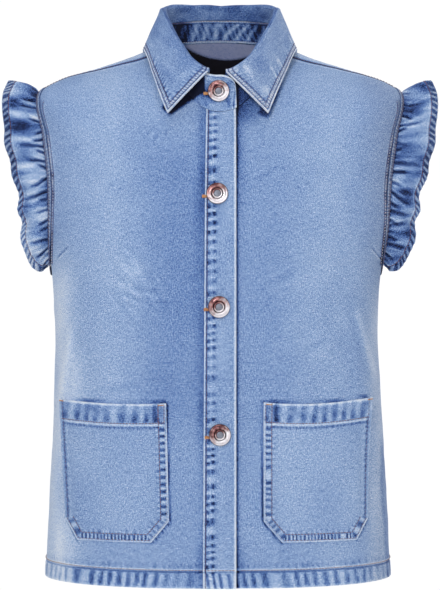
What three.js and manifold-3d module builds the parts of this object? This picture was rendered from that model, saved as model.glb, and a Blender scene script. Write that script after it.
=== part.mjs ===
// A sleeveless denim vest: a shirt collar on a stand, a buttoned front placket, two patch pockets with
// clipped corners, and a gathered ruffle standing out from each bound armhole. It keeps the hollow form
// that it has when worn. Millimetres, +Z up. The front faces -Y and +X is the wearer's left.
// The origin lies midway between the two points where the shoulder seams meet the collar.
import * as THREE from "three";
import Module from "manifold-3d";
import { mergeVertices } from "three/addons/utils/BufferGeometryUtils.js";

const manifold = await Module();
manifold.setup();

const DEGREE = Math.PI / 180;
const SIDE = 90 * DEGREE;

// Cloth.
const CLOTH = 1.5; // one layer of denim
const DOUBLED = 2.2; // two layers stitched together
const GAP = 0.35; // between pieces that lie on or beside each other
const HEM_HEIGHT = 20;

// The body's rings, from the hem up to the neckline. Heights are at the side, centre front and centre
// back; square is the superellipse power of the ring's plan.
const RING_KEYS = ["sideZ", "frontZ", "backZ", "centreX", "halfWidth", "frontDepth", "backDepth", "square"];
const ring = (name, ...sizes) => ({ name, ...Object.fromEntries(RING_KEYS.map((key, i) => [key, sizes[i]])) });
const RINGS = [
  ring("hem", -574.5, -577, -577, -2.2, 187.3, 123, 105, 2.45),
  ring("hip", -480, -480, -480, -2.2, 182.6, 121, 102, 2.45),
  ring("waist", -380, -380, -380, -2.7, 177.4, 119, 97, 2.4),
  ring("bust", -295, -290, -295, -4.2, 175.4, 122, 98, 2.4),
  ring("underarm", -243, -238, -243, -4.2, 179.3, 121, 100, 2.4),
  ring("low_armhole", -195, -202, -195, -1.6, 187, 117.5, 102, 2.35),
  ring("mid_armhole", -146, -170, -148, -0.5, 192.5, 112.5, 103, 2.3),
  ring("high_armhole", -94, -143, -102, 0, 196.8, 107, 100, 2.3),
  ring("shoulder_tip", -52, -124, -66, 0, 196, 101, 92, 2.3),
  ring("outer_shoulder", -39.2, -115, -51, 0, 176, 97, 87, 2.3),
  ring("mid_shoulder", -24.2, -102.5, -29.5, 0, 130, 91, 78, 2.2),
  ring("inner_shoulder", -11.5, -90.5, -9, 0, 92, 84.5, 68, 2.15),
  ring("neckline", 0, -78, 9, 0, 66, 78, 58, 2.1),
];

// Soft vertical folds where the cloth hangs from the bust and the shoulder blades. Angles are degrees
// round the body from the centre front, the lean is how far the fold turns between its two ends.
const FOLDS = [
  { angle: -66, lean: -8, topZ: -270, bottomZ: -560, width: 7.5, depth: 3.6 },
  { angle: -48, lean: -3, topZ: -300, bottomZ: -430, width: 6, depth: 1.8 },
  { angle: 61, lean: 14, topZ: -280, bottomZ: -470, width: 7, depth: 4.0 },
  { angle: 72, lean: 2, topZ: -420, bottomZ: -570, width: 5, depth: 2.6 },
  { angle: 28, lean: 3, topZ: -250, bottomZ: -400, width: 9, depth: 1.6 },
  { angle: -24, lean: -2, topZ: -210, bottomZ: -380, width: 9, depth: 1.6 },
  { angle: 118, lean: 4, topZ: -240, bottomZ: -570, width: 8, depth: 3.6 },
  { angle: 146, lean: 3, topZ: -260, bottomZ: -560, width: 8, depth: 3.0 },
  { angle: 204, lean: -3, topZ: -230, bottomZ: -540, width: 9, depth: 3.2 },
  { angle: 237, lean: -5, topZ: -270, bottomZ: -570, width: 8, depth: 3.6 },
];

// The front edge and its buttons.
const PLACKET = { leftTop: -14.6, leftBottom: -17.8, right: 17 };
const RIGHT_FRONT_EDGE = -9; // under the placket
const LEFT_FRONT_EDGE = -14.5; // it passes under the right front
const UNDERLAP = { full: 22, gone: 60 };
const BUTTONS = [
  { name: "button_1", x: -1.5, onStand: 21.5 },
  { name: "button_2", x: -2.8, z: -167 },
  { name: "button_3", x: -1, z: -284.5 },
  { name: "button_4", x: 0, z: -417.5 },
];
const BUTTON_PROFILE = [
  { radius: 0, height: 0 },
  { radius: 3.2, height: 0 },
  { radius: 3.2, height: 1.1 },
  { radius: 10.2, height: 1.3 },
  { radius: 11, height: 2.1 },
  { radius: 9.9, height: 3.5 },
  { radius: 6.6, height: 3.6 },
  { radius: 5.2, height: 2.6 },
  { radius: 4.6, height: 3.4 },
  { radius: 3.4, height: 3.4 },
  { radius: 2.8, height: 2.4 },
  { radius: 0, height: 2.9 },
];
const BUTTON_SIDES = 18;

// The patch pockets, as seen from the front.
const POCKETS = [
  {
    name: "pocket_right",
    on: "front_right",
    top: { outer: -165.7, outerZ: -382.5, inner: -56, innerZ: -384.8, sag: 2.2 },
    foot: { outer: -161.3, inner: -52.5, z: -529.5 },
  },
  {
    name: "pocket_left",
    on: "front_left",
    top: { outer: 156.5, outerZ: -380.5, inner: 45.4, innerZ: -383.7, sag: 3.6 },
    foot: { outer: 155, inner: 45.5, z: -529.5 },
  },
];
const POCKET_CLIP = { outer: 12, inner: 19, height: 22 };
const POCKET_TOP_STEPS = 8;
const POCKET_HEM = 21;
const POCKET_HEM_EXTRA = 0.7;

// The armholes, as a share of the turn taken out of the body's side.
const ARMHOLE = { frontCut: 13 * DEGREE, backCut: 14 * DEGREE };
const ARMHOLE_BAND = { width: 7.5, thickness: 1.1, lift: 0.45 };

// The ruffles. Share runs along the armhole from the underarm to the shoulder tip; out, inward and up
// are parts of the width, and crown lifts the middle.
const RUFFLE_THICKNESS = 1.6;
const RUFFLE_START = 17 * DEGREE; // short of the underarm, front and back
const RUFFLE_KEYS = ["width", "out", "inward", "up", "crown"];
const RUFFLE_SHAPE = [
  { share: 0.0, width: 15, out: 0.7, inward: 0.1, up: -0.5, crown: 1 },
  { share: 0.06, width: 28, out: 0.74, inward: 0.24, up: -0.38, crown: 3 },
  { share: 0.18, width: 38, out: 0.76, inward: 0.38, up: -0.12, crown: 5 },
  { share: 0.4, width: 43, out: 0.8, inward: 0.34, up: -0.03, crown: 6 },
  { share: 0.62, width: 47, out: 0.92, inward: 0.22, up: 0.06, crown: 5 },
  { share: 0.82, width: 45, out: 0.85, inward: 0.12, up: 0.2, crown: 5 },
  { share: 1.0, width: 44, out: 0.74, inward: 0.0, up: 0.33, crown: 15 },
];
const GATHERS = { count: 40, samples: 4, depth: 1.9 };
const WAVES = { count: 13, depth: 4.6, calm: 0.6 };
const RUFFLE_ROWS = [0, 0.2, 0.56, 1];

// The collar. Angles are degrees round the neck from the centre front.
const COLLAR_LEAN = { x: 0.105, y: 0.03, height: 43 };
const STAND_HEIGHTS = [
  { angle: 0, height: 39 },
  { angle: 30, height: 35.5 },
  { angle: 60, height: 30.5 },
  { angle: 90, height: 27 },
  { angle: 180, height: 24 },
];
const FOLD_HEIGHTS = [
  { angle: 0, height: 43 },
  { angle: 30, height: 40.5 },
  { angle: 60, height: 38.5 },
  { angle: 90, height: 39.5 },
  { angle: 118, height: 43.5 },
  { angle: 148, height: 41.5 },
  { angle: 180, height: 39.5 },
];
// Where the leaf's outer edge lies over the body, for each angle of the fold.
const LEAF_EDGE = [
  { angle: 9, x: 52.5, z: -84, back: false, lift: 7 },
  { angle: 30, x: 61, z: -61, back: false, lift: 6 },
  { angle: 55, x: 70.5, z: -35, back: false, lift: 5.5 },
  { angle: 80, x: 79, z: -12.5, back: false, lift: 6 },
  { angle: 104, x: 78.5, z: -12.5, back: true, lift: 5.5 },
  { angle: 130, x: 62, z: -8, back: true, lift: 4 },
  { angle: 155, x: 34, z: -4, back: true, lift: 4 },
  { angle: 180, x: 0, z: -3, back: true, lift: 4 },
];
const LEAF_ENDS = { left: 5, right: 9 };
const LEAF_SHIFT = -2.2; // both points lie this far towards the wearer's right
const LEAF_THICKNESS = 1.9;
const LEAF_ROLL = 2.1; // inner radius of the fold
const STAND_END = { x: 17, corner: 16, lift: DOUBLED + GAP };
const STAND_UNDER_END = -14;

const DENIM = { color: 0x86a5cf, roughness: 0.92, metalness: 0 };
const DENIM_DARK = { color: 0x6685b8, roughness: 0.92, metalness: 0 };
const METAL = { color: 0xb9b2ac, roughness: 0.32, metalness: 0.9 };

const clamp = (value, low, high) => Math.min(high, Math.max(low, value));
const mix = (a, b, share) => a + (b - a) * share;
const smooth = (share) => {
  const t = clamp(share, 0, 1);
  return t * t * (3 - 2 * t);
};

// A smooth curve through the rows of a table, each at its own knot.
function tableCurve(rows, knots, keys) {
  const slope = (i, key) => {
    const low = Math.max(i - 1, 0);
    const high = Math.min(i + 1, rows.length - 1);
    if (low === i || high === i) return (rows[high][key] - rows[low][key]) / (knots[high] - knots[low]);
    const before = knots[i] - knots[low];
    const after = knots[high] - knots[i];
    const rateBefore = (rows[i][key] - rows[low][key]) / before;
    const rateAfter = (rows[high][key] - rows[i][key]) / after;
    return (rateBefore * after + rateAfter * before) / (before + after);
  };
  return (at) => {
    let i = 0;
    while (i < rows.length - 2 && at > knots[i + 1]) i++;
    const length = knots[i + 1] - knots[i];
    const t = (at - knots[i]) / length;
    const out = {};
    for (const key of keys) {
      const a = rows[i][key];
      const b = rows[i + 1][key];
      out[key] =
        a * (1 + 2 * t) * (1 - t) ** 2 +
        b * t * t * (3 - 2 * t) +
        slope(i, key) * length * t * (1 - t) ** 2 -
        slope(i + 1, key) * length * t * t * (1 - t);
    }
    return out;
  };
}

// Distance along the body's side, from the hem to each ring.
const ALONG = RINGS.map(() => 0);
for (let i = 1; i < RINGS.length; i++) {
  const [a, b] = [RINGS[i - 1], RINGS[i]];
  ALONG[i] = ALONG[i - 1] + Math.hypot(b.sideZ - a.sideZ, b.halfWidth - a.halfWidth, (b.frontZ - a.frontZ) / 2);
}
const ringAlong = (name) => ALONG[RINGS.findIndex((ring) => ring.name === name)];
const TOP = ringAlong("neckline");
const ringAt = tableCurve(RINGS, ALONG, RING_KEYS);

function foldDepth(angle, z) {
  let depth = 0;
  for (const fold of FOLDS) {
    const down = (fold.topZ - z) / (fold.topZ - fold.bottomZ);
    if (down <= 0 || down >= 1) continue;
    const middle = fold.angle + fold.lean * down;
    let off = angle / DEGREE - middle;
    off -= 360 * Math.round(off / 360);
    depth += fold.depth * Math.sin(Math.PI * down) ** 0.7 * Math.exp(-((off / fold.width) ** 2));
  }
  return depth;
}

// A point of the vest's outer surface: angle round the body from the centre front, along from the hem.
function surface(angle, along) {
  const ring = ringAt(along);
  const front = Math.cos(angle) >= 0;
  const depth = front ? ring.frontDepth : ring.backDepth;
  const width = Math.abs(Math.sin(angle) / ring.halfWidth) ** ring.square;
  const reach = (width + Math.abs(Math.cos(angle) / depth) ** ring.square) ** (-1 / ring.square);
  const share = (reach * Math.cos(angle)) / depth;
  const z = ring.sideZ + ((front ? ring.frontZ : ring.backZ) - ring.sideZ) * share * share;
  const r = reach + foldDepth(angle, z);
  return new THREE.Vector3(ring.centreX + r * Math.sin(angle), -r * Math.cos(angle), z);
}

function frameAt(angle, along) {
  const step = 3;
  const turn = 0.045;
  const low = Math.max(along - step, 0);
  const high = Math.min(along + step, TOP);
  const round = surface(angle + turn, along).sub(surface(angle - turn, along)).divideScalar(2 * turn);
  const up = surface(angle, high).sub(surface(angle, low)).divideScalar(high - low);
  const normal = new THREE.Vector3().crossVectors(round, up).normalize();
  return { point: surface(angle, along), round, up, normal };
}

function lifted(angle, along, lift) {
  const { point, normal } = frameAt(angle, along);
  return point.addScaledVector(normal, lift);
}

// Bisection for the value where a rising function reaches a target.
function solve(rising, target, low, high) {
  for (let i = 0; i < 48; i++) {
    const middle = (low + high) / 2;
    if (rising(middle) < target) low = middle;
    else high = middle;
  }
  return (low + high) / 2;
}

const alongAtHeight = (angle, z) => solve((along) => surface(angle, along).z, z, 0, TOP);

function angleAtX(x, along, back = false) {
  const ring = ringAt(along);
  const share = clamp((x - ring.centreX) / ring.halfWidth, -1, 1);
  const most = back ? ring.backDepth : ring.frontDepth;
  const depth = most * (1 - Math.abs(share) ** ring.square) ** (1 / ring.square);
  const angle = Math.atan2(share * ring.halfWidth, depth);
  return back ? Math.PI - angle : angle;
}

// The place on the body that shows at x and z from the front, or from behind.
function placeAt(x, z, back = false) {
  const rise = (along) => {
    const ring = ringAt(along);
    const ended = Math.abs(x - ring.centreX) >= ring.halfWidth && along > ringAlong("shoulder_tip");
    return ended ? 1e6 : surface(angleAtX(x, along, back), along).z;
  };
  const along = solve(rise, z, 0, TOP);
  return { angle: angleAtX(x, along, back), along };
}

function paint(look) {
  return new THREE.MeshStandardMaterial(look);
}

// A closed body between two grids of points that face each other. loops joins the last row to the first.
function solidBetween(name, outer, inner, look, loops = false) {
  const rows = outer.length;
  const columns = outer[0].length;
  const points = [...outer.flat(), ...inner.flat()];
  const half = rows * columns;
  const faces = [];
  const quad = (a, b, c, d) => faces.push([a, b, c], [a, c, d]);
  const id = (i, j) => (i % rows) * columns + j;
  const lastRow = loops ? rows : rows - 1;
  for (let i = 0; i < lastRow; i++) {
    for (let j = 0; j < columns - 1; j++) {
      quad(id(i, j), id(i + 1, j), id(i + 1, j + 1), id(i, j + 1));
      quad(half + id(i, j), half + id(i, j + 1), half + id(i + 1, j + 1), half + id(i + 1, j));
    }
    quad(id(i + 1, 0), id(i, 0), half + id(i, 0), half + id(i + 1, 0));
    quad(id(i, columns - 1), id(i + 1, columns - 1), half + id(i + 1, columns - 1), half + id(i, columns - 1));
  }
  if (!loops) {
    for (let j = 0; j < columns - 1; j++) {
      quad(id(0, j), id(0, j + 1), half + id(0, j + 1), half + id(0, j));
      const last = rows - 1;
      quad(id(last, j + 1), id(last, j), half + id(last, j), half + id(last, j + 1));
    }
  }
  const volume = faces.reduce((sum, [a, b, c]) => {
    return sum + points[a].dot(new THREE.Vector3().crossVectors(points[b], points[c]));
  }, 0);
  if (volume < 0) faces.forEach((face) => face.reverse());
  const geometry = new THREE.BufferGeometry();
  geometry.setFromPoints(points);
  geometry.setIndex(faces.flat());
  geometry.computeVertexNormals();
  const mesh = new THREE.Mesh(geometry, paint(look));
  mesh.name = name;
  return mesh;
}

// Armhole: turn 0 is the underarm, half a turn is the shoulder tip, and the front comes first.
const ARM_LOW = ringAlong("underarm");
const ARM_HIGH = ringAlong("shoulder_tip");
function armholePlace(turn) {
  const cut = Math.sin(turn) >= 0 ? ARMHOLE.frontCut : ARMHOLE.backCut;
  return {
    angle: SIDE - cut * Math.sin(turn),
    along: mix(ARM_LOW, ARM_HIGH, (1 - Math.cos(turn)) / 2),
  };
}

// Rows of the panels, closest together where the armhole turns.
const ARM_ROWS = 12;
const PANEL_ROWS = [
  0,
  HEM_HEIGHT,
  HEM_HEIGHT + 1,
  ...[0.18, 0.36, 0.54, 0.72, 0.87].map((share) => mix(HEM_HEIGHT, ARM_LOW, share)),
  ...Array.from({ length: ARM_ROWS + 1 }, (_, i) => armholePlace((Math.PI * i) / ARM_ROWS).along),
  ...[0.2, 0.45, 0.72, 1].map((share) => mix(ARM_HIGH, TOP, share)),
];

// The side edge of a panel: the seam, set back by half a gap, less the armhole's cut.
function sideEdge(along, back) {
  const ring = ringAt(along);
  const setBack = (GAP / 2 + 0.02) / ring.halfWidth;
  const across = clamp((2 * (along - ARM_LOW)) / (ARM_HIGH - ARM_LOW) - 1, -1, 1);
  const cut = (back ? ARMHOLE.backCut : ARMHOLE.frontCut) * Math.sqrt(1 - across * across);
  return back ? SIDE + setBack + cut : SIDE - setBack - cut;
}

const panelThickness = (along) => (along <= HEM_HEIGHT + 0.5 ? CLOTH * 1.8 : CLOTH);

const evenly = (count) => Array.from({ length: count + 1 }, (_, i) => i / count);
const FRONT_COLUMNS = [0, 0.05, 0.12, 0.2, 0.28, 0.36, 0.44, 0.52, 0.6, 0.68, 0.76, 0.84, 0.92, 1];

// The left front goes down under the right one.
function underlap(angle, along) {
  const { x } = surface(angle, along);
  return (panelThickness(along) + GAP) * smooth((UNDERLAP.gone - x) / (UNDERLAP.gone - UNDERLAP.full));
}

const PANELS = {
  front_right: {
    columns: FRONT_COLUMNS,
    edges: (along) => [angleAtX(RIGHT_FRONT_EDGE, along), -sideEdge(along, false)],
    sink: () => 0,
  },
  front_left: {
    columns: FRONT_COLUMNS,
    edges: (along) => [angleAtX(LEFT_FRONT_EDGE, along), sideEdge(along, false)],
    sink: underlap,
  },
  back: {
    columns: evenly(20),
    edges: (along) => [sideEdge(along, true), 2 * Math.PI - sideEdge(along, true)],
    sink: () => 0,
  },
};

// The panel's own grid of points, lifted off its outer face.
function panelLayer({ columns, edges, sink }, liftAt) {
  return PANEL_ROWS.map((along) => {
    const [first, last] = edges(along);
    return columns.map((share) => {
      const angle = mix(first, last, share);
      return lifted(angle, along, liftAt(along) - sink(angle, along));
    });
  });
}

function panel(name) {
  const outer = panelLayer(PANELS[name], () => 0);
  const inner = panelLayer(PANELS[name], (along) => -panelThickness(along));
  return solidBetween(name, outer, inner, DENIM);
}

function placket() {
  const rows = PANEL_ROWS.filter((along) => along !== HEM_HEIGHT + 1 && along < TOP).concat(TOP - 3.2);
  const across = evenly(3);
  const layer = (lift) =>
    rows.map((along) => across.map((share) => {
      const left = mix(PLACKET.leftBottom, PLACKET.leftTop, along / TOP);
      const angle = angleAtX(mix(left, PLACKET.right, share), along);
      return lifted(angle, along, lift);
    }));
  return solidBetween("placket", layer(GAP + DOUBLED), layer(GAP), DENIM);
}

function toManifold(mesh) {
  const bare = new THREE.BufferGeometry();
  bare.setAttribute("position", mesh.geometry.getAttribute("position"));
  bare.setIndex(mesh.geometry.getIndex());
  const merged = mergeVertices(bare, 1e-3);
  return new manifold.Manifold(
    new manifold.Mesh({
      numProp: 3,
      vertProperties: new Float32Array(merged.getAttribute("position").array),
      triVerts: new Uint32Array(merged.getIndex().array),
    }),
  );
}

function fromManifold(name, solid, look) {
  const { vertProperties, triVerts } = solid.getMesh();
  const geometry = new THREE.BufferGeometry();
  geometry.setAttribute("position", new THREE.Float32BufferAttribute(vertProperties, 3));
  geometry.setIndex(Array.from(triVerts));
  geometry.computeVertexNormals();
  const mesh = new THREE.Mesh(geometry, paint(look));
  mesh.name = name;
  return mesh;
}

// A block through the front, cut to an outline of x and z.
function frontCutter(outline) {
  const clockwise = THREE.ShapeUtils.isClockWise(outline.map(([x, z]) => new THREE.Vector2(x, z)));
  const section = clockwise ? [...outline].reverse() : outline;
  return new manifold.CrossSection([section]).extrude(300).rotate([90, 0, 0]);
}

// The front's own layer, laid on it and cut to the pocket's outline.
function pocket({ name, on, top, foot }) {
  const layer = (lift) => panelLayer(PANELS[on], () => lift);
  const sheet = (lift) => toManifold(solidBetween("", layer(lift), layer(GAP), DENIM));
  const way = Math.sign(top.inner - top.outer);
  const side = (key, z) => [mix(foot[key], top[key], (z - foot.z) / (top[`${key}Z`] - foot.z)), z];
  // A line across the pocket, a given way under its top edge, lowest in the middle.
  const across = (drop) => {
    const inner = side("inner", top.innerZ - drop);
    const outer = side("outer", top.outerZ - drop);
    return Array.from({ length: POCKET_TOP_STEPS + 1 }, (_, k) => {
      const share = k / POCKET_TOP_STEPS;
      const sag = 4 * top.sag * share * (1 - share);
      return [mix(inner[0], outer[0], share), mix(inner[1], outer[1], share) - sag];
    });
  };
  const whole = [
    ...across(0),
    side("outer", foot.z + POCKET_CLIP.height),
    [foot.outer + way * POCKET_CLIP.outer, foot.z],
    [foot.inner - way * POCKET_CLIP.inner, foot.z],
    side("inner", foot.z + POCKET_CLIP.height),
  ];
  const hem = [...across(0), ...across(POCKET_HEM).reverse()];
  const bag = sheet(GAP + CLOTH).intersect(frontCutter(whole));
  const band = sheet(GAP + CLOTH + POCKET_HEM_EXTRA).intersect(frontCutter(hem));
  return fromManifold(name, bag.add(band), DENIM);
}

// A piece for one side: the wearer's left, or the same mirrored for the right.
const SIDES = [
  { name: "left", sign: 1 },
  { name: "right", sign: -1 },
];

// The armhole's edge, the way along it, the cloth's normal, and the way off the cloth into the opening.
function armholeFrame(turn, sign) {
  const { angle, along } = armholePlace(turn);
  const step = 0.01;
  const [before, after] = [armholePlace(turn - step), armholePlace(turn + step)];
  const tangent = surface(sign * after.angle, after.along);
  tangent.sub(surface(sign * before.angle, before.along)).normalize();
  const frame = frameAt(sign * angle, along);
  const off = new THREE.Vector3().crossVectors(tangent, frame.normal).normalize();
  off.multiplyScalar(sign);
  return { ...frame, tangent, off, angle, along };
}

function armholeBand({ name, sign }) {
  const count = 40;
  const turns = Array.from({ length: count }, (_, i) => (2 * Math.PI * i) / count);
  const layer = (lift) =>
    turns.map((turn) => {
      const { point, round, up, off, angle, along } = armholeFrame(turn, sign);
      const onto = off.clone().multiplyScalar(-ARMHOLE_BAND.width);
      // The step in angle and along that moves by the band's width on the surface.
      const [rr, ru, uu] = [round.dot(round), round.dot(up), up.dot(up)];
      const [tr, tu] = [onto.dot(round), onto.dot(up)];
      const det = rr * uu - ru * ru;
      const turnStep = (tr * uu - tu * ru) / det;
      const alongStep = (tu * rr - tr * ru) / det;
      const near = lifted(sign * angle, along, lift);
      const far = lifted(sign * angle + turnStep, along + alongStep, lift);
      return [near, far];
    });
  const top = layer(ARMHOLE_BAND.lift + ARMHOLE_BAND.thickness);
  return solidBetween("armhole_band_" + name, top, layer(ARMHOLE_BAND.lift), DENIM_DARK, true);
}

const ruffleShape = tableCurve(RUFFLE_SHAPE, RUFFLE_SHAPE.map((row) => row.share), RUFFLE_KEYS);
const gatherPhase = (share) => share + 0.0045 * Math.sin(37 * share + 1) + 0.0028 * Math.sin(83 * share);
const wavePhase = (share) => share + 0.013 * Math.sin(19 * share + 2) + 0.006 * Math.sin(41 * share);

function rufflePoint(sign, share, across, thickness) {
  const turn = mix(RUFFLE_START, 2 * Math.PI - RUFFLE_START, share);
  const { point, off, tangent } = armholeFrame(turn, sign);
  const toTip = 1 - Math.abs(2 * share - 1);
  const front = share < 0.5 ? 1 : -1;
  const row = ruffleShape(toTip);
  const reach = new THREE.Vector3(sign * row.out, front * row.inward, row.up).multiplyScalar(row.width);
  const start = point.clone().addScaledVector(off, 3 * GAP);
  const normal = new THREE.Vector3().crossVectors(reach, tangent).normalize().multiplyScalar(sign);
  const bend = new THREE.Vector3((sign * row.out * row.width) / 2, 0, 0).addScaledVector(normal, row.crown);
  const place = start
    .addScaledVector(bend, 2 * across * (1 - across))
    .addScaledVector(reach, across * across);
  const gather = GATHERS.depth * Math.min(across / 0.14, 1) * (1 - 0.72 * across) * smooth(0.35 + toTip / 0.12);
  const calm = 1 - WAVES.calm * smooth((toTip - 0.45) / 0.3);
  const wave = WAVES.depth * across ** 1.3 * smooth(toTip / 0.08) * calm;
  const rise =
    gather * Math.sin(2 * Math.PI * GATHERS.count * gatherPhase(share)) +
    wave * Math.sin(2 * Math.PI * WAVES.count * wavePhase(share) + 0.6);
  return place.addScaledVector(normal, rise - thickness);
}

function ruffle({ name, sign }) {
  const steps = GATHERS.count * GATHERS.samples;
  const [first, last] = [gatherPhase(0), gatherPhase(1)];
  const phases = Array.from({ length: steps + 1 }, (_, i) => mix(first, last, i / steps));
  const shares = phases.map((phase) => solve(gatherPhase, phase, 0, 1));
  const layer = (thickness) =>
    shares.map((share) => RUFFLE_ROWS.map((across) => rufflePoint(sign, share, across, thickness)));
  return solidBetween("ruffle_" + name, layer(0), layer(RUFFLE_THICKNESS), DENIM_DARK);
}

// The collar stands on the neckline. Angles beyond a full turn lap over the start.
const foldAngle = (angle) => {
  const turned = Math.abs(angle - 2 * Math.PI * Math.round(angle / (2 * Math.PI)));
  return turned / DEGREE;
};
const standCurve = tableCurve(STAND_HEIGHTS, STAND_HEIGHTS.map((row) => row.angle), ["height"]);
const foldCurve = tableCurve(FOLD_HEIGHTS, FOLD_HEIGHTS.map((row) => row.angle), ["height"]);
const standHeight = (angle) => standCurve(foldAngle(angle)).height;
const foldHeight = (angle) => foldCurve(foldAngle(angle)).height;

// The stand's right end laps over its left end, level with the placket.
const lapLift = (angle) => STAND_END.lift * smooth((angle / DEGREE - 322) / 20);

function collarPoint(angle, height, lift) {
  const foot = surface(angle, TOP);
  const shrink = height / COLLAR_LEAN.height;
  const step = 0.01;
  const way = surface(angle + step, TOP).sub(surface(angle - step, TOP));
  const outward = new THREE.Vector3(way.y, -way.x, 0).normalize();
  foot.x *= 1 - COLLAR_LEAN.x * shrink;
  foot.y *= 1 - COLLAR_LEAN.y * shrink;
  foot.z += height;
  return { point: foot.addScaledVector(outward, lift), outward };
}

function collarStand() {
  const first = angleAtX(STAND_UNDER_END, TOP);
  const last = 2 * Math.PI + angleAtX(STAND_END.x, TOP);
  const count = 44;
  const ease = (share) => mix(first, last, share + 0.035 * Math.sin(2 * Math.PI * share) * -1);
  const heights = [0, 0.5, 1];
  const top = (angle) => {
    const x = surface(angle, TOP).x;
    const past = angle > 1.5 * Math.PI ? x - (STAND_END.x - STAND_END.corner) : 0;
    const corner = past > 0 ? STAND_END.corner - Math.sqrt(Math.max(STAND_END.corner ** 2 - past ** 2, 0)) : 0;
    return standHeight(angle) - corner;
  };
  const layer = (depth) =>
    evenly(count).map((share) => {
      const angle = ease(share);
      const lift = lapLift(angle) - depth;
      return heights.map((part) => collarPoint(angle, mix(GAP + 0.1, top(angle), part), lift).point);
    });
  return solidBetween("collar_stand", layer(0), layer(DOUBLED - 0.2), DENIM);
}

const leafEdgePoints = LEAF_EDGE.map(({ x, z, back, lift }) => {
  const { angle, along } = placeAt(x, z, back);
  return lifted(angle, along, lift);
});
const leafEdgeCurve = tableCurve(leafEdgePoints, LEAF_EDGE.map((row) => row.angle), ["x", "y", "z"]);

function leafSection(angle) {
  const rise = foldHeight(angle) - LEAF_ROLL;
  const foot = standHeight(angle) + 2 * GAP;
  const lift = angle > Math.PI ? lapLift(angle) : 0;
  const { point: side, outward } = collarPoint(angle, rise, lift);
  const section = [collarPoint(angle, Math.min(foot, rise - 0.4), lift).point, side];
  for (const turn of [45, 90, 135, 180]) {
    const place = side.clone().addScaledVector(outward, LEAF_ROLL * (1 - Math.cos(turn * DEGREE)));
    place.z += LEAF_ROLL * Math.sin(turn * DEGREE);
    section.push(place);
  }
  const start = section[section.length - 1];
  const isRight = Math.sin(angle) < 0;
  const firstEnd = isRight ? LEAF_ENDS.right : LEAF_ENDS.left;
  const fromBack = (180 - foldAngle(angle)) / (180 - firstEnd);
  const edge = leafEdgeCurve(180 - (180 - LEAF_EDGE[0].angle) * fromBack);
  const shift = LEAF_SHIFT * smooth((80 - foldAngle(angle)) / 60);
  const end = new THREE.Vector3((isRight ? -1 : 1) * edge.x + shift, edge.y, edge.z);
  const length = start.distanceTo(end);
  const control = start.clone().addScaledVector(outward, 0.13 * length);
  control.z -= 0.3 * length;
  const straight = start.clone().lerp(end, 0.5).addScaledVector(outward, 0.05 * length);
  control.lerp(straight, smooth((62 - foldAngle(angle)) / 50));
  for (const share of [0.25, 0.5, 0.75, 1]) {
    const a = start.clone().lerp(control, share);
    const b = control.clone().lerp(end, share);
    section.push(a.lerp(b, share));
  }
  return section;
}

function collarLeaf() {
  const count = 40;
  const angles = evenly(count).map((share) => mix(LEAF_ENDS.left, 360 - LEAF_ENDS.right, share) * DEGREE);
  const outer = angles.map(leafSection);
  const inner = outer.map((section, i) =>
    section.map((point, j) => {
      const along = outer[Math.min(i + 1, count)][j].clone().sub(outer[Math.max(i - 1, 0)][j]);
      const across = section[Math.min(j + 1, section.length - 1)].clone().sub(section[Math.max(j - 1, 0)]);
      const normal = new THREE.Vector3().crossVectors(across, along).normalize();
      return point.clone().addScaledVector(normal, LEAF_THICKNESS);
    }),
  );
  return solidBetween("collar_leaf", outer, inner, DENIM);
}

function button({ name, x, z, onStand }) {
  const profile = BUTTON_PROFILE.map(({ radius, height }) => new THREE.Vector2(radius, height));
  const mesh = new THREE.Mesh(new THREE.LatheGeometry(profile, BUTTON_SIDES), paint(METAL));
  mesh.name = name;
  let place;
  let facing;
  if (onStand) {
    const angle = 2 * Math.PI + angleAtX(x, TOP);
    const { point, outward } = collarPoint(angle, onStand, lapLift(angle) + GAP);
    [place, facing] = [point, outward];
  } else {
    const { angle, along } = placeAt(x, z);
    const { point, normal } = frameAt(angle, along);
    place = point.addScaledVector(normal, 2 * GAP + DOUBLED);
    facing = normal;
  }
  mesh.position.copy(place);
  mesh.quaternion.setFromUnitVectors(new THREE.Vector3(0, 1, 0), facing);
  return mesh;
}

const vest = new THREE.Group();
vest.add(...Object.keys(PANELS).map(panel), placket());
vest.add(...POCKETS.map(pocket));
vest.add(...SIDES.map(armholeBand), ...SIDES.map(ruffle));
vest.add(collarStand(), collarLeaf());
vest.add(...BUTTONS.map(button));

export default vest;
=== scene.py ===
# The looks of the denim vest: fine cloth shells on the solids' own form, with puckered seams, gathers,
# stitching, buttonholes and pressed metal buttons. Sizes are in millimetres until a mesh is made, and
# the floor and the lights are placed in metres.
import math

import bpy
import numpy as np
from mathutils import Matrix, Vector


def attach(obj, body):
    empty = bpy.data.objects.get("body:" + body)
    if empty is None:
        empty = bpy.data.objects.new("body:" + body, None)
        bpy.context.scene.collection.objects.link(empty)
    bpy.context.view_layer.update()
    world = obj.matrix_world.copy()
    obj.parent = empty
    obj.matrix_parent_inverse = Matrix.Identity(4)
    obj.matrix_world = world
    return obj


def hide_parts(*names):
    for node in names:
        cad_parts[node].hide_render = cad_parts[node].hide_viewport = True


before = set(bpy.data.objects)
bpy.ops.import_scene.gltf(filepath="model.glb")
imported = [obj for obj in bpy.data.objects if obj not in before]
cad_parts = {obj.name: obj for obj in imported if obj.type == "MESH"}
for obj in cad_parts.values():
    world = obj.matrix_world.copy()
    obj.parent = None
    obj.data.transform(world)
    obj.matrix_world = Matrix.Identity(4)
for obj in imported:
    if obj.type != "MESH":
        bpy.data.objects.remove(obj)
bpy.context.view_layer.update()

MM = 0.001
DEG = math.pi / 180
SIDE = 90 * DEG
TURN = 2 * math.pi

# Sizes shared with the solids
CLOTH = 1.5
DOUBLED = 2.2
GAP = 0.35
HEM_HEIGHT = 20
HEM_ROW = 18.9

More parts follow.
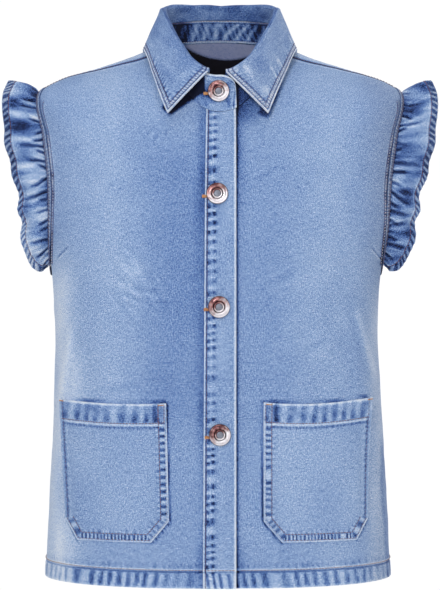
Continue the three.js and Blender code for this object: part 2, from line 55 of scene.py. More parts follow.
RING_KEYS = ("side_z", "front_z", "back_z", "centre_x", "half_width", "front_depth", "back_depth", "square")
RINGS = (
    ("hem", -574.5, -577, -577, -2.2, 187.3, 123, 105, 2.45),
    ("hip", -480, -480, -480, -2.2, 182.6, 121, 102, 2.45),
    ("waist", -380, -380, -380, -2.7, 177.4, 119, 97, 2.4),
    ("bust", -295, -290, -295, -4.2, 175.4, 122, 98, 2.4),
    ("underarm", -243, -238, -243, -4.2, 179.3, 121, 100, 2.4),
    ("low_armhole", -195, -202, -195, -1.6, 187, 117.5, 102, 2.35),
    ("mid_armhole", -146, -170, -148, -0.5, 192.5, 112.5, 103, 2.3),
    ("high_armhole", -94, -143, -102, 0, 196.8, 107, 100, 2.3),
    ("shoulder_tip", -52, -124, -66, 0, 196, 101, 92, 2.3),
    ("outer_shoulder", -39.2, -115, -51, 0, 176, 97, 87, 2.3),
    ("mid_shoulder", -24.2, -102.5, -29.5, 0, 130, 91, 78, 2.2),
    ("inner_shoulder", -11.5, -90.5, -9, 0, 92, 84.5, 68, 2.15),
    ("neckline", 0, -78, 9, 0, 66, 78, 58, 2.1),
)
# The body's soft folds: angle, lean, top z, bottom z, width, depth
FOLDS = (
    (-66, -8, -270, -560, 7.5, 3.6), (-48, -3, -300, -430, 6, 1.8), (61, 14, -280, -470, 7, 4.0),
    (72, 2, -420, -570, 5, 2.6), (28, 3, -250, -400, 9, 1.6), (-24, -2, -210, -380, 9, 1.6),
    (118, 4, -240, -570, 8, 3.6), (146, 3, -260, -560, 8, 3.0), (204, -3, -230, -540, 9, 3.2),
    (237, -5, -270, -570, 8, 3.6),
)
PLACKET = {"left_top": -14.6, "left_bottom": -17.8, "right": 17}
RIGHT_FRONT_EDGE = -9
LEFT_FRONT_EDGE = -14.5
UNDERLAP = {"full": 22, "gone": 60}
BUTTONS = (
    {"name": "button_1", "x": -1.5, "on_stand": 21.5},
    {"name": "button_2", "x": -2.8, "z": -167},
    {"name": "button_3", "x": -1, "z": -284.5},
    {"name": "button_4", "x": 0, "z": -417.5},
)
# Each side edge's x and z at the top and x at the foot
POCKETS = {
    "pocket_right": {"way": 1, "outer": (-165.7, -382.5, -161.3), "inner": (-56, -384.8, -52.5), "sag": 2.2},
    "pocket_left": {"way": -1, "outer": (156.5, -380.5, 155), "inner": (45.4, -383.7, 45.5), "sag": 3.6},
}
POCKET_FOOT = -529.5
CLIP_OUTER, CLIP_INNER, CLIP_HEIGHT = 12, 19, 22
POCKET_HEM = 21
# How far in the pockets' rows of stitching lie: at the edge, dotted, inside, and below the top
EDGE_ROW, DOTTED_ROW, INSIDE_ROW, TOP_ROW = 1.9, 3.4, 8.2, 20.3
FRONT_CUT, BACK_CUT = 13 * DEG, 14 * DEG
BAND_WIDTH, BAND_THICK, BAND_LIFT = 7.5, 1.1, 0.45
RUFFLE_THICK = 1.3
RUFFLE_START = 17 * DEG
# The ruffles' shape by the share of the way from underarm to shoulder: width, out, inward, up, crown
RUFFLE_SHAPE = (
    (0.0, 15, 0.7, 0.1, -0.5, 1),
    (0.06, 28, 0.74, 0.24, -0.38, 3),
    (0.18, 38, 0.76, 0.38, -0.12, 5),
    (0.4, 43, 0.8, 0.34, -0.03, 6),
    (0.62, 47, 0.92, 0.22, 0.06, 5),
    (0.82, 45, 0.85, 0.12, 0.2, 5),
    (1.0, 44, 0.74, 0.0, 0.33, 15),
)
WAVE_COUNT, WAVE_DEPTH, WAVE_CALM = 13, 4.6, 0.6
RUFFLE_COLUMNS = 660
COLLAR_LEAN_X, COLLAR_LEAN_Y, COLLAR_HEIGHT = 0.105, 0.03, 43
STAND_HEIGHTS = ((0, 39), (30, 35.5), (60, 30.5), (90, 27), (180, 24))
FOLD_HEIGHTS = ((0, 43), (30, 40.5), (60, 38.5), (90, 39.5), (118, 43.5), (148, 41.5), (180, 39.5))
LEAF_EDGE = (
    (9, 52.5, -84, False, 7),
    (30, 61, -61, False, 6),
    (55, 70.5, -35, False, 5.5),
    (80, 79, -12.5, False, 6),
    (104, 78.5, -12.5, True, 5.5),
    (130, 62, -8, True, 4),
    (155, 34, -4, True, 4),
    (180, 0, -3, True, 4),
)
LEAF_LEFT_END, LEAF_RIGHT_END = 5, 9
LEAF_SHIFT = -2.2
LEAF_THICK = 1.9
LEAF_ROLL = 2.1
LEAF_ROWS = (2.5, 7.1)
STAND_END_X, STAND_CORNER, LAP = 17, 16, DOUBLED + GAP
STAND_UNDER_END = -14


# Small helpers
def within(share):
    return np.clip(share, 0, 1)


def smooth(share):
    t = within(share)
    return t * t * (3 - 2 * t)


def mix(a, b, share):
    return a + (b - a) * share


def bell(value, middle, width):
    return np.exp(-(((value - middle) / width) ** 2))


def unit(vectors):
    return vectors / np.maximum(np.linalg.norm(vectors, axis=-1, keepdims=True), 1e-9)


def lattice(ix, iy, seed):
    """A seeded random value from -1 to 1 for each pair of whole numbers."""
    hashed = ix.astype(np.int64) * 374761393 + iy.astype(np.int64) * 668265263 + seed * 982451653
    hashed = hashed & 0xFFFFFFFF
    hashed = ((hashed ^ (hashed >> 13)) * 1274126177) & 0xFFFFFFFF
    hashed = hashed ^ (hashed >> 16)
    return (hashed & 0xFFFFFF) / float(0xFFFFFF) * 2 - 1


def noise(x, y, seed):
    """Smooth seeded noise from -1 to 1, one feature a unit."""
    x, y = np.broadcast_arrays(np.asarray(x, float), np.asarray(y, float))
    x0, y0 = np.floor(x), np.floor(y)
    fx, fy = smooth(x - x0), smooth(y - y0)
    low = mix(lattice(x0, y0, seed), lattice(x0 + 1, y0, seed), fx)
    high = mix(lattice(x0, y0 + 1, seed), lattice(x0 + 1, y0 + 1, seed), fx)
    return mix(low, high, fy)


def rope(along, period, seed):
    """An uneven ripple along a puckered seam, about -1 to 1."""
    phase = along / period + 0.55 * noise(along / (2.1 * period), 0.5, seed)
    swing = 0.78 + 0.45 * noise(along / (2.7 * period), 3.5, seed + 1)
    return np.sin(TURN * phase) * swing


def table_curve(knots, values):
    """A smooth curve through one value at each knot."""
    knots, values = np.asarray(knots, float), np.asarray(values, float)
    steps = np.diff(knots)
    rates = np.diff(values) / steps
    slopes = np.empty_like(values)
    slopes[0], slopes[-1] = rates[0], rates[-1]
    slopes[1:-1] = (rates[:-1] * steps[1:] + rates[1:] * steps[:-1]) / (steps[:-1] + steps[1:])

    def at(x):
        x = np.asarray(x, float)
        i = np.clip(np.searchsorted(knots, x, side="right") - 1, 0, len(knots) - 2)
        length = steps[i]
        t = (x - knots[i]) / length
        ends = values[i] * (1 + 2 * t) * (1 - t) ** 2 + values[i + 1] * t * t * (3 - 2 * t)
        return ends + slopes[i] * length * t * (1 - t) ** 2 - slopes[i + 1] * length * t * t * (1 - t)

    return at


# The body's form
def ring_lengths():
    total = [0.0]
    for a, b in zip(RINGS, RINGS[1:]):
        total.append(total[-1] + math.hypot(b[1] - a[1], b[5] - a[5], (b[2] - a[2]) / 2))
    return total


ALONG = ring_lengths()
NAMES = [row[0] for row in RINGS]
TOP = ALONG[-1]
ARM_LOW = ALONG[NAMES.index("underarm")]
ARM_HIGH = ALONG[NAMES.index("shoulder_tip")]
RING = {key: table_curve(ALONG, [row[i + 1] for row in RINGS]) for i, key in enumerate(RING_KEYS)}


def fold_depth(angle, z):
    depth = np.zeros_like(z)
    for middle, lean, top, bottom, width, deep in FOLDS:
        down = (top - z) / (top - bottom)
        inside = (down > 0) & (down < 1)
        down = within(down)
        off = angle / DEG - (middle + lean * down)
        off = off - 360 * np.round(off / 360)
        depth += np.where(inside, deep * np.sin(math.pi * down) ** 0.7 * np.exp(-((off / width) ** 2)), 0)
    return depth


def surface(angle, along):
    """Points of the vest's outer surface: angle round from the centre front, along from the hem."""
    angle, along = np.broadcast_arrays(np.asarray(angle, float), np.asarray(along, float))
    front = np.cos(angle) >= 0
    depth = np.where(front, RING["front_depth"](along), RING["back_depth"](along))
    square = RING["square"](along)
    width = np.abs(np.sin(angle) / RING["half_width"](along)) ** square
    reach = (width + np.abs(np.cos(angle) / depth) ** square) ** (-1 / square)
    share = reach * np.cos(angle) / depth
    side_z = RING["side_z"](along)
    z = side_z + (np.where(front, RING["front_z"](along), RING["back_z"](along)) - side_z) * share**2
    r = reach + fold_depth(angle, z)
    return np.stack([RING["centre_x"](along) + r * np.sin(angle), -r * np.cos(angle), z], -1)


# The steps along and round that give a normal smoothed over the small folds
BROAD = (3, 0.045)


def frame_at(angle, along, step=1.5, turn=0.02):
    """Surface points with their slopes round and up, and their normals."""
    low, high = np.maximum(along - step, 0), np.minimum(along + step, TOP)
    around = (surface(angle + turn, along) - surface(angle - turn, along)) / (2 * turn)
    up = (surface(angle, high) - surface(angle, low)) / (high - low)[..., None]
    return surface(angle, along), around, up, unit(np.cross(around, up))


def angle_at_x(x, along, back=False):
    width = RING["half_width"](along)
    share = np.clip((x - RING["centre_x"](along)) / width, -1, 1)
    square = RING["square"](along)
    most = RING["back_depth"](along) if back else RING["front_depth"](along)
    depth = most * (1 - np.abs(share) ** square) ** (1 / square)
    angle = np.arctan2(share * width, depth)
    return math.pi - angle if back else angle


def place_at(x, z, back=False):
    """The place on the body that shows at x and z from the front, or from behind."""
    x, z = np.broadcast_arrays(np.asarray(x, float), np.asarray(z, float))
    low, high = np.zeros_like(x), np.full_like(x, TOP)
    for _ in range(40):
        middle = (low + high) / 2
        ended = np.abs(x - RING["centre_x"](middle)) >= RING["half_width"](middle)
        ended &= middle > ARM_HIGH
        height = np.where(ended, 1e6, surface(angle_at_x(x, middle, back), middle)[..., 2])
        low = np.where(height < z, middle, low)
        high = np.where(height < z, high, middle)
    along = (low + high) / 2
    return angle_at_x(x, along, back), along


def side_edge(along, back):
    set_back = (GAP / 2 + 0.02) / RING["half_width"](along)
    across = np.clip(2 * (along - ARM_LOW) / (ARM_HIGH - ARM_LOW) - 1, -1, 1)
    cut = (BACK_CUT if back else FRONT_CUT) * np.sqrt(1 - across * across)
    return SIDE + set_back + cut if back else SIDE - set_back - cut


def panel_thickness(along):
    return CLOTH * (1 + 0.8 * smooth((HEM_HEIGHT + 0.6 - along) / 1.2))


def underlap(x, along):
    share = (UNDERLAP["gone"] - x) / (UNDERLAP["gone"] - UNDERLAP["full"])
    return (panel_thickness(along) + GAP) * smooth(share)


# Meshes
def grid_normals(points, like):
    """Normals of a grid of points, turned the way of like."""
    rows = np.gradient(points, axis=0)
    columns = np.gradient(points, axis=1)
    normals = unit(np.cross(columns, rows))
    return normals if np.sum(normals * like) > 0 else -normals


def lengths(points, axis):
    step = np.linalg.norm(np.diff(points, axis=axis), axis=-1)
    total = np.cumsum(step, axis=axis)
    return np.concatenate([np.zeros_like(np.take(total, [0], axis=axis)), total], axis=axis)


def raised(points, normals, by):
    """Points moved along their normals."""
    return points + normals * by[..., None]


def run_along(points):
    """The distance along a path at each of its points."""
    return np.concatenate([[0], np.cumsum(np.linalg.norm(np.diff(points, axis=0), axis=1))])


def cloth_area(points, looped=False):
    if looped:
        points = np.concatenate([points, points[:1]], 0)
    a = points[1:, :-1] - points[:-1, :-1]
    b = points[:-1, 1:] - points[:-1, :-1]
    return float(np.linalg.norm(np.cross(a, b), axis=-1).sum()) * MM * MM


def placed(name, data):
    """A new object in the scene."""
    obj = bpy.data.objects.new(name, data)
    bpy.context.scene.collection.objects.link(obj)
    return obj


def make_mesh(name, points, faces, materials, indices=None, uv=None, wash=None, sharp=48):
    mesh = bpy.data.meshes.new(name)
    mesh.from_pydata((points * MM).tolist(), [], faces.tolist() if hasattr(faces, "tolist") else faces)
    for material in materials:
        mesh.materials.append(material)
    if indices is not None:
        mesh.polygons.foreach_set("material_index", np.asarray(indices, dtype=np.int32))
    mesh.polygons.foreach_set("use_smooth", np.ones(len(mesh.polygons), dtype=bool))
    loops = np.empty(len(mesh.loops), dtype=np.int32)
    mesh.loops.foreach_get("vertex_index", loops)
    if uv is not None:
        layer = mesh.uv_layers.new(name="UVMap")
        layer.data.foreach_set("uv", uv[loops].ravel())
    if wash is not None:
        layer = mesh.color_attributes.new("wash", "FLOAT_COLOR", "POINT")
        layer.data.foreach_set("color", wash.ravel())
    mesh.update()
    if sharp:
        mesh.set_sharp_from_angle(angle=sharp * DEG)
    return placed(name, mesh)


# The wash fields' upper limit: over 1 is cloth in full shade
DEEPEST = 1.6


def shell(name, outer, inner, materials, uv, wear_and_highlight, deep, tint=0.0, looped=False):
    """A closed cloth shell between two grids. The inner face takes the second material."""
    rows, columns = outer.shape[:2]
    half = rows * columns
    ids = np.arange(half).reshape(rows, columns)
    if looped:
        ids = np.concatenate([ids, ids[:1]], 0)
    a, b, c, d = ids[:-1, :-1], ids[1:, :-1], ids[1:, 1:], ids[:-1, 1:]
    face = np.stack([a, b, c, d], -1).reshape(-1, 4)
    back = np.stack([a, d, c, b], -1).reshape(-1, 4) + half
    left = np.stack([ids[1:, 0], ids[:-1, 0], ids[:-1, 0] + half, ids[1:, 0] + half], -1)
    right = np.stack([ids[:-1, -1], ids[1:, -1], ids[1:, -1] + half, ids[:-1, -1] + half], -1)
    parts = [face, back, left, right]
    if not looped:
        parts.append(np.stack([ids[0, :-1], ids[0, 1:], ids[0, 1:] + half, ids[0, :-1] + half], -1))
        parts.append(np.stack([ids[-1, 1:], ids[-1, :-1], ids[-1, :-1] + half, ids[-1, 1:] + half], -1))
    faces = np.concatenate(parts)
    indices = np.zeros(len(faces), dtype=np.int32)
    indices[len(face) : 2 * len(face)] = 1
    points = np.concatenate([outer.reshape(-1, 3), inner.reshape(-1, 3)])
    corners = points[faces]
    volume = np.einsum("ij,ij->i", corners[:, 0], np.cross(corners[:, 1], corners[:, 2])).sum()
    volume += np.einsum("ij,ij->i", corners[:, 0], np.cross(corners[:, 2], corners[:, 3])).sum()
    if volume < 0:
        faces = faces[:, ::-1]
    # The wash attribute's channels: wear and painted highlight, deep colour and painted shade, and a grey
    # tint that is partly painted shade.
    wash = np.ones((2 * half, 4))
    for channel, field in enumerate((wear_and_highlight, deep, tint)):
        for side, values in enumerate(field if isinstance(field, tuple) else (field, field)):
            spread = np.broadcast_to(np.clip(values, 0, DEEPEST), (rows, columns))
            wash[side * half : (side + 1) * half, channel] = spread.ravel()
    flat = np.tile(uv.reshape(-1, 2) / 100, (2, 1))
    return make_mesh(name, points, faces, materials, indices, flat, wash)


# The flat cut: what a shape wastes beside it, the least width in metres, and each piece's length to width
WASTE = 1.06
LEAST_WIDTH = 0.0105
FRONT_RATIO, BACK_RATIO, PLACKET_RATIO = 2.2, 1.3, 15.0
POCKET_RATIO, STAND_RATIO, LEAF_RATIO = 1.33, 11.0, 5.5
RUFFLE_MEAN_WIDTH = 46


def dress(piece, node, slot, area, ratio, held, **more):
    """Hooks a cloth piece to the root and hides its node's solid."""
    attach(piece, "root")
    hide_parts(node)
    width = math.sqrt(area * WASTE / ratio)
    if width < LEAST_WIDTH:
        more["area"] = round(area, 5)


# Stitches. A stitch's sections by share of its length, thickness and rise in radii
STITCH_SECTIONS = ((0.0, 0.45, -0.25), (0.22, 0.95, 0.7), (0.78, 0.95, 0.7), (1.0, 0.45, -0.25))
STITCH_SIDES = 4


def tube_faces(rings, sides):
    """Faces between rings of points that follow one another."""
    faces = []
    for ring in range(rings - 1):
        low, high = ring * sides, (ring + 1) * sides
        for k in range(sides):
            after = (k + 1) % sides
            faces.append([low + k, low + after, high + after, high + k])
    return faces


def thread_run(points, normals, stitch=2.7, gap=0.75, radius=0.36, lift=0.18, seed=1):
    """Vertices and faces of one row of stitches along a path."""
    at = run_along(points)
    count = max(int(at[-1] / (stitch + gap)), 1)
    pitch = at[-1] / count
    wobble = 0.16 * lattice(np.arange(count), np.zeros(count), seed)
    starts = (np.arange(count) + 0.5) * pitch - pitch * stitch / (stitch + gap) / 2 + wobble
    ends = starts + pitch * stitch / (stitch + gap)
    sections = []
    for share, size, rise in STITCH_SECTIONS:
        where = mix(starts, ends, share)
        place = np.stack([np.interp(where, at, points[:, k]) for k in range(3)], -1)
        normal = unit(np.stack([np.interp(where, at, normals[:, k]) for k in range(3)], -1))
        sections.append((place + normal * (lift + rise * radius), normal, size * radius))
    tangent = unit(sections[-1][0] - sections[0][0])
    verts = []
    for place, normal, size in sections:
        across = unit(np.cross(tangent, normal))
        for k in range(STITCH_SIDES):
            turn = TURN * k / STITCH_SIDES
            verts.append(place + size * (math.cos(turn) * across + math.sin(turn) * normal))
    verts = np.stack(verts, 1).reshape(-1, 3)
    one = np.array(tube_faces(len(sections), STITCH_SIDES))
    firsts = np.arange(count) * len(sections) * STITCH_SIDES
    faces = np.concatenate([one + first for first in firsts])
    start_cap = np.arange(STITCH_SIDES)[::-1]
    end_cap = np.arange(STITCH_SIDES) + (len(sections) - 1) * STITCH_SIDES
    caps = [(start_cap + first).tolist() for first in firsts]
    caps += [(end_cap + first).tolist() for first in firsts]
    return verts, faces.tolist() + caps


THREADS = {}


def sew(group, points, normals, **how):
    THREADS.setdefault(group, []).append(thread_run(np.asarray(points), np.asarray(normals), **how))


def bilinear(grid, i, j):
    i = np.clip(i, 0, grid.shape[0] - 1.001)
    j = np.clip(j, 0, grid.shape[1] - 1.001)
    i0, j0 = i.astype(int), j.astype(int)
    fi, fj = (i - i0)[:, None], (j - j0)[:, None]
    low = mix(grid[i0, j0], grid[i0, j0 + 1], fj)
    high = mix(grid[i0 + 1, j0], grid[i0 + 1, j0 + 1], fj)
    return mix(low, high, fi)


def row_line(points, normals, up, distance, columns, from_end=False):
    """A line across the columns at a distance from the first row, or from the last."""
    i = []
    for j in columns:
        at = up[:, j]
        target = at[-1] - distance if from_end else distance
        i.append(np.interp(target, at, np.arange(len(at))))
    i, j = np.array(i), np.array(columns, float)
    return bilinear(points, i, j), unit(bilinear(normals, i, j))


def column_line(points, normals, across, distance, rows, from_end=False):
    """A line up the rows at a distance from the first column, or from the last."""
    j = []
    for i in rows:
        at = across[i]
        target = at[-1] - distance if from_end else distance
        j.append(np.interp(target, at, np.arange(len(at))))
    i, j = np.array(rows, float), np.array(j)
    return bilinear(points, i, j), unit(bilinear(normals, i, j))


# Materials
def linear(red, green, blue):
    def one(value):
        value /= 255
        return value / 12.92 if value <= 0.04045 else ((value + 0.055) / 1.055) ** 2.4

    return (one(red), one(green), one(blue), 1)


class Nodes:
    """Short calls for building a material's nodes."""

    def __init__(self, name):
        self.material = bpy.data.materials.new(name)
        self.material.use_nodes = True
        self.tree = self.material.node_tree
        self.shader = next(node for node in self.tree.nodes if node.type == "BSDF_PRINCIPLED")

    def put(self, socket, value):
        if isinstance(value, bpy.types.NodeSocket):
            self.tree.links.new(value, socket)
        else:
            socket.default_value = value

    def add(self, kind, **settings):
        node = self.tree.nodes.new(kind)
        for key, value in settings.items():
            setattr(node, key, value)
        return node

    def look(self, **values):
        """Sets or links the shader's inputs, whose names take underscores for spaces."""
        for key, value in values.items():
            self.put(self.shader.inputs[key.replace("_", " ")], value)

    def where(self):
        return self.add("ShaderNodeTexCoord").outputs["Object"]

    def wash(self):
        """The three channels of the wash attribute."""
        split = self.add("ShaderNodeSeparateColor")
        self.put(split.inputs[0], self.add("ShaderNodeAttribute", attribute_name="wash").outputs["Color"])
        return tuple(split.outputs)

    def math(self, operation, a, b=0.0, clamp=False):
        node = self.add("ShaderNodeMath", operation=operation, use_clamp=clamp)
        self.put(node.inputs[0], a)
        self.put(node.inputs[1], b)
        return node.outputs[0]

    def total(self, *values):
        result = values[0]
        for value in values[1:]:
            result = self.math("ADD", result, value)
        return result

    def scaled(self, vector, by):
        node = self.add("ShaderNodeVectorMath", operation="MULTIPLY")
        self.put(node.inputs[0], vector)
        node.inputs[1].default_value = by
        return node.outputs[0]

    def noise(self, vector, scale, detail=2.0, roughness=0.5, amount=1.0):
        node = self.add("ShaderNodeTexNoise")
        self.put(node.inputs["Vector"], vector)
        node.inputs["Scale"].default_value = scale
        node.inputs["Detail"].default_value = detail
        node.inputs["Roughness"].default_value = roughness
        return self.math("MULTIPLY", self.math("SUBTRACT", node.outputs[0], 0.5), amount)

    def ramp(self, value, stops):
        node = self.add("ShaderNodeValToRGB")
        elements = node.color_ramp.elements
        while len(elements) < len(stops):
            elements.new(0.5)
        for element, (position, colour) in zip(elements, stops):
            element.position = position
            element.color = colour
        self.put(node.inputs[0], value)
        return node.outputs[0]

    def bump(self, height, strength, distance):
        node = self.add("ShaderNodeBump")
        node.inputs["Strength"].default_value = strength
        node.inputs["Distance"].default_value = distance
        self.put(node.inputs["Height"], height)
        return node.outputs[0]


# The darkest stops serve painted shadow, as under the collar's edges.
DENIM_STOPS = (
    (0.0, linear(14, 20, 44)),
    (0.07, linear(28, 42, 88)),
    (0.18, linear(46, 74, 138)),
    (0.38, linear(84, 118, 178)),
    (0.56, linear(126, 155, 201)),
    (0.72, linear(160, 185, 220)),
    (0.86, linear(190, 207, 234)),
    (1.0, linear(222, 230, 242)),
)
# The wrong side's near-black first stop serves the painted shadow inside the back neck.
WRONG_STOPS = (
    (0.0, linear(20, 18, 28)),
    (0.4, linear(138, 152, 198)),
    (0.65, linear(172, 180, 212)),
    (1.0, linear(214, 216, 228)),
)


def denim(name, level, stops=DENIM_STOPS, grain=1.0, seed=0.0):
    """Washed denim: the wash attribute's worn and deep parts, which also carry painted highlight and painted
    shade, mottling, slubs and a fine twill.
    """
    nodes = Nodes(name)
    shift = nodes.add("ShaderNodeVectorMath", operation="ADD")
    nodes.put(shift.inputs[0], nodes.add("ShaderNodeUVMap", uv_map="UVMap").outputs[0])
    shift.inputs[1].default_value = (seed, seed * 0.7, seed * 1.3)
    where = shift.outputs[0]
    worn_and_lit, deep, grey = nodes.wash()
    specks = nodes.noise(nodes.scaled(where, (1.0, 0.75, 1.0)), 98, 1.0, 0.6, 1.15 * grain)
    slubs = nodes.noise(nodes.scaled(where, (1.0, 0.22, 1.0)), 100, 1.0, 0.5, 0.4 * grain)
    wefts = nodes.noise(nodes.scaled(where, (0.25, 1.0, 1.0)), 96, 1.0, 0.5, 0.28 * grain)
    mottle = nodes.noise(where, 16, 3.0, 0.6, 0.15)
    clouds = nodes.noise(where, 2.2, 2.0, 0.5, 0.08)
    twill = nodes.add("ShaderNodeTexWave", wave_type="BANDS", bands_direction="DIAGONAL", wave_profile="SIN")
    nodes.put(twill.inputs["Vector"], where)
    twill.inputs["Scale"].default_value = 30
    twill.inputs["Distortion"].default_value = 0.8
    twill.inputs["Detail"].default_value = 1.0
    ribs = nodes.math("MULTIPLY", nodes.math("SUBTRACT", twill.outputs["Fac"], 0.5), 0.1 * grain)
    fine = nodes.total(specks, slubs, wefts, ribs)
    value = nodes.total(fine, mottle, clouds, level)
    value = nodes.math("ADD", value, nodes.math("MULTIPLY", worn_and_lit, 0.4))
    value = nodes.math("SUBTRACT", value, nodes.math("MULTIPLY", deep, 0.57), clamp=True)
    greyed = nodes.add("ShaderNodeMix", data_type="RGBA", blend_type="MULTIPLY")
    nodes.put(greyed.inputs["Factor"], grey)
    nodes.put(greyed.inputs["A"], nodes.ramp(value, stops))
    greyed.inputs["B"].default_value = (1.0, 0.8, 0.66, 1)
    nodes.look(Base_Color=greyed.outputs["Result"], Roughness=0.93, Specular_IOR_Level=0.15)
    relief = nodes.bump(nodes.total(fine, mottle), 0.6, 0.0009)
    nodes.look(Sheen_Weight=0.06, Sheen_Roughness=0.6, Normal=relief)
    return nodes.material


def thread_material(name, dark, light):
    nodes = Nodes(name)
    where = nodes.where()
    patchy = nodes.math("ADD", nodes.noise(where, 160, 2.0, 0.5, 1.6), 0.5, clamp=True)
    tones = ((0.0, linear(*dark)), (1.0, linear(*light)))
    ply = nodes.add("ShaderNodeTexWave", wave_type="BANDS", bands_direction="DIAGONAL")
    nodes.put(ply.inputs["Vector"], where)
    ply.inputs["Scale"].default_value = 500
    relief = nodes.bump(ply.outputs["Fac"], 0.3, 0.0002)
    nodes.look(Base_Color=nodes.ramp(patchy, tones), Roughness=0.75, Normal=relief)
    return nodes.material


def button_metal():
    """Worn metal: the wash attribute turns silver into copper and darkens the grooves, partly as the metal's
    tone and patina, partly as painted reflection.
    """
    nodes = Nodes("button_metal_worn")
    where = nodes.where()
    copper_and_reflection, dark, _ = nodes.wash()
    fine = nodes.noise(where, 800, 2.0, 0.6)
    tone = nodes.total(copper_and_reflection, nodes.noise(where, 240, 3.0, 0.6, 0.9), 0.05)
    silver, pink = (0.0, linear(238, 234, 240)), (0.36, linear(212, 194, 198))
    stops = (silver, pink, (0.7, linear(170, 124, 122)), (1.0, linear(98, 60, 64)))
    patina_and_reflection = nodes.add("ShaderNodeMix", data_type="RGBA")
    nodes.put(patina_and_reflection.inputs["Factor"], dark)
    nodes.put(patina_and_reflection.inputs["A"], nodes.ramp(tone, stops))
    patina_and_reflection.inputs["B"].default_value = linear(34, 32, 42)
    rough = nodes.math("ADD", nodes.math("MULTIPLY", fine, 0.3), 0.33, clamp=True)
    nodes.look(Base_Color=patina_and_reflection.outputs["Result"], Metallic=0.9, Roughness=rough)
    nodes.look(Normal=nodes.bump(fine, 0.15, 0.0002))
    return nodes.material


def button_recess():
    nodes = Nodes("button_recess")
    where = nodes.where()
    fine = nodes.noise(where, 700, 3.0, 0.6)
    tone = nodes.math("ADD", nodes.math("MULTIPLY", fine, 1.2), 0.5, clamp=True)
    greys = ((0.0, linear(92, 94, 108)), (1.0, linear(160, 164, 178)))
    rough = nodes.math("ADD", nodes.math("MULTIPLY", fine, 0.3), 0.5, clamp=True)
    nodes.look(Base_Color=nodes.ramp(tone, greys), Metallic=0.5, Roughness=rough)
    return nodes.material


DENIM = denim("denim_washed", level=0.58)
TRIM = denim("denim_trim", level=0.54, seed=3.1)
WRONG = denim("denim_wrong_side", level=0.6, stops=WRONG_STOPS, grain=0.45, seed=5.3)
THREAD_LOOKS = {
    "rust": thread_material("thread_rust", (96, 62, 72), (156, 110, 104)),
    "plum": thread_material("thread_plum", (82, 72, 104), (142, 124, 148)),
    "orange": thread_material("thread_orange", (176, 116, 78), (222, 168, 116)),
    "pale": thread_material("thread_pale", (168, 174, 198), (224, 226, 236)),
}
METAL = button_metal()
RECESS = button_recess()


# Body panels
def body_rows():
    arm = mix(ARM_LOW, ARM_HIGH, (1 - np.cos(np.linspace(0, math.pi, 86))) / 2)
    low = np.concatenate([np.linspace(0, 27, 26), np.linspace(27, ARM_LOW, 84)[1:-1]])
    return np.concatenate([low, arm, np.linspace(ARM_HIGH, TOP, 44)[1:]])


ROWS = body_rows()
# Small creases as seen from the front: x and z at each end, width, depth
DARTS = (
    (-174, -232.5, -161, -221, 1.1, 1.4),
    (161, -221, 175, -235, 1.1, 1.4),
)
FRONT_CREASES = (
    (-77, -104, -71, -97, 1.7, 0.9), (-72, -112, -65, -103, 1.8, 0.8), (-58, -104, -55, -97, 1.6, 0.9),
    (-106, -254, -90, -262, 2.4, 0.8), (-92, -264, -64, -270, 2.4, 0.9), (-102, -270, -84, -277, 2.2, 0.7),
    (-84, -250, -66, -257, 2.2, 0.6), (-98, -284, -76, -279, 2.4, 0.6), (-72, -277, -54, -281, 2.2, 0.6),
    (-40, -262, -24, -250, 3, 0.4), (40, -150, 62, -138, 3.8, 0.45), (50, -262, 80, -246, 4.2, 0.5),
    (88, -332, 112, -318, 4.2, 0.5), (-120, -372, -84, -366, 5, 0.5), (143, -284, 166, -362, 5, -0.75),
    (-158, -306, -169, -378, 5, -0.7),
)
BACK_CREASES = (
    (-128, -206, -84, -258, 6, 1.7), (122, -212, 84, -254, 5.5, 1.5), (-150, -262, -118, -300, 5, 1.2),
    (146, -250, 120, -296, 5.5, 1.3), (-70, -330, -22, -356, 7, 1.3), (60, -338, 20, -352, 6, 1.1),
    (-120, -420, -96, -520, 8, 1.2), (112, -410, 100, -524, 8, 1.3), (-30, -440, -20, -536, 7, 0.9),
    (44, -430, 34, -520, 7, 1.0), (-46, -190, 12, -204, 7, 1.0), (-96, -96, -70, -160, 7, 1.0),
    (92, -100, 66, -152, 7, 0.9),
)


def crease_height(x, z, creases):
    height = np.zeros_like(x)
    for x1, z1, x2, z2, width, depth in creases:
        length = math.hypot(x2 - x1, z2 - z1)
        t = ((x - x1) * (x2 - x1) + (z - z1) * (z2 - z1)) / length**2
        off = ((x - x1) * (z2 - z1) - (z - z1) * (x2 - x1)) / length
        ends = smooth((t + 0.12) / 0.3) * smooth((1.12 - t) / 0.3)
        ridges = 0.6 * bell(off, width * 1.5, width) + 0.3 * bell(off, -width * 1.6, width)
        height += depth * ends * (ridges - bell(off, 0, width))
    return height


def patches(along, period, seed, width=0.5):
    """Irregular dark patches and pale gaps along a seam: 1 in a patch, -1 in a gap."""
    phase = along / period + noise(along / (2.6 * period), 0.5, seed)
    second = 0.55 * np.sin(TURN * (1.9 * phase + 0.3)) * noise(phase * 0.5, 7.5, seed + 1)
    wave = np.sin(TURN * phase) + second
    strength = 0.72 + 0.4 * noise(along / (1.6 * period), 3.5, seed + 2)
    return np.clip((wave + 2 * width - 1) * 1.4, -1, 1) * strength


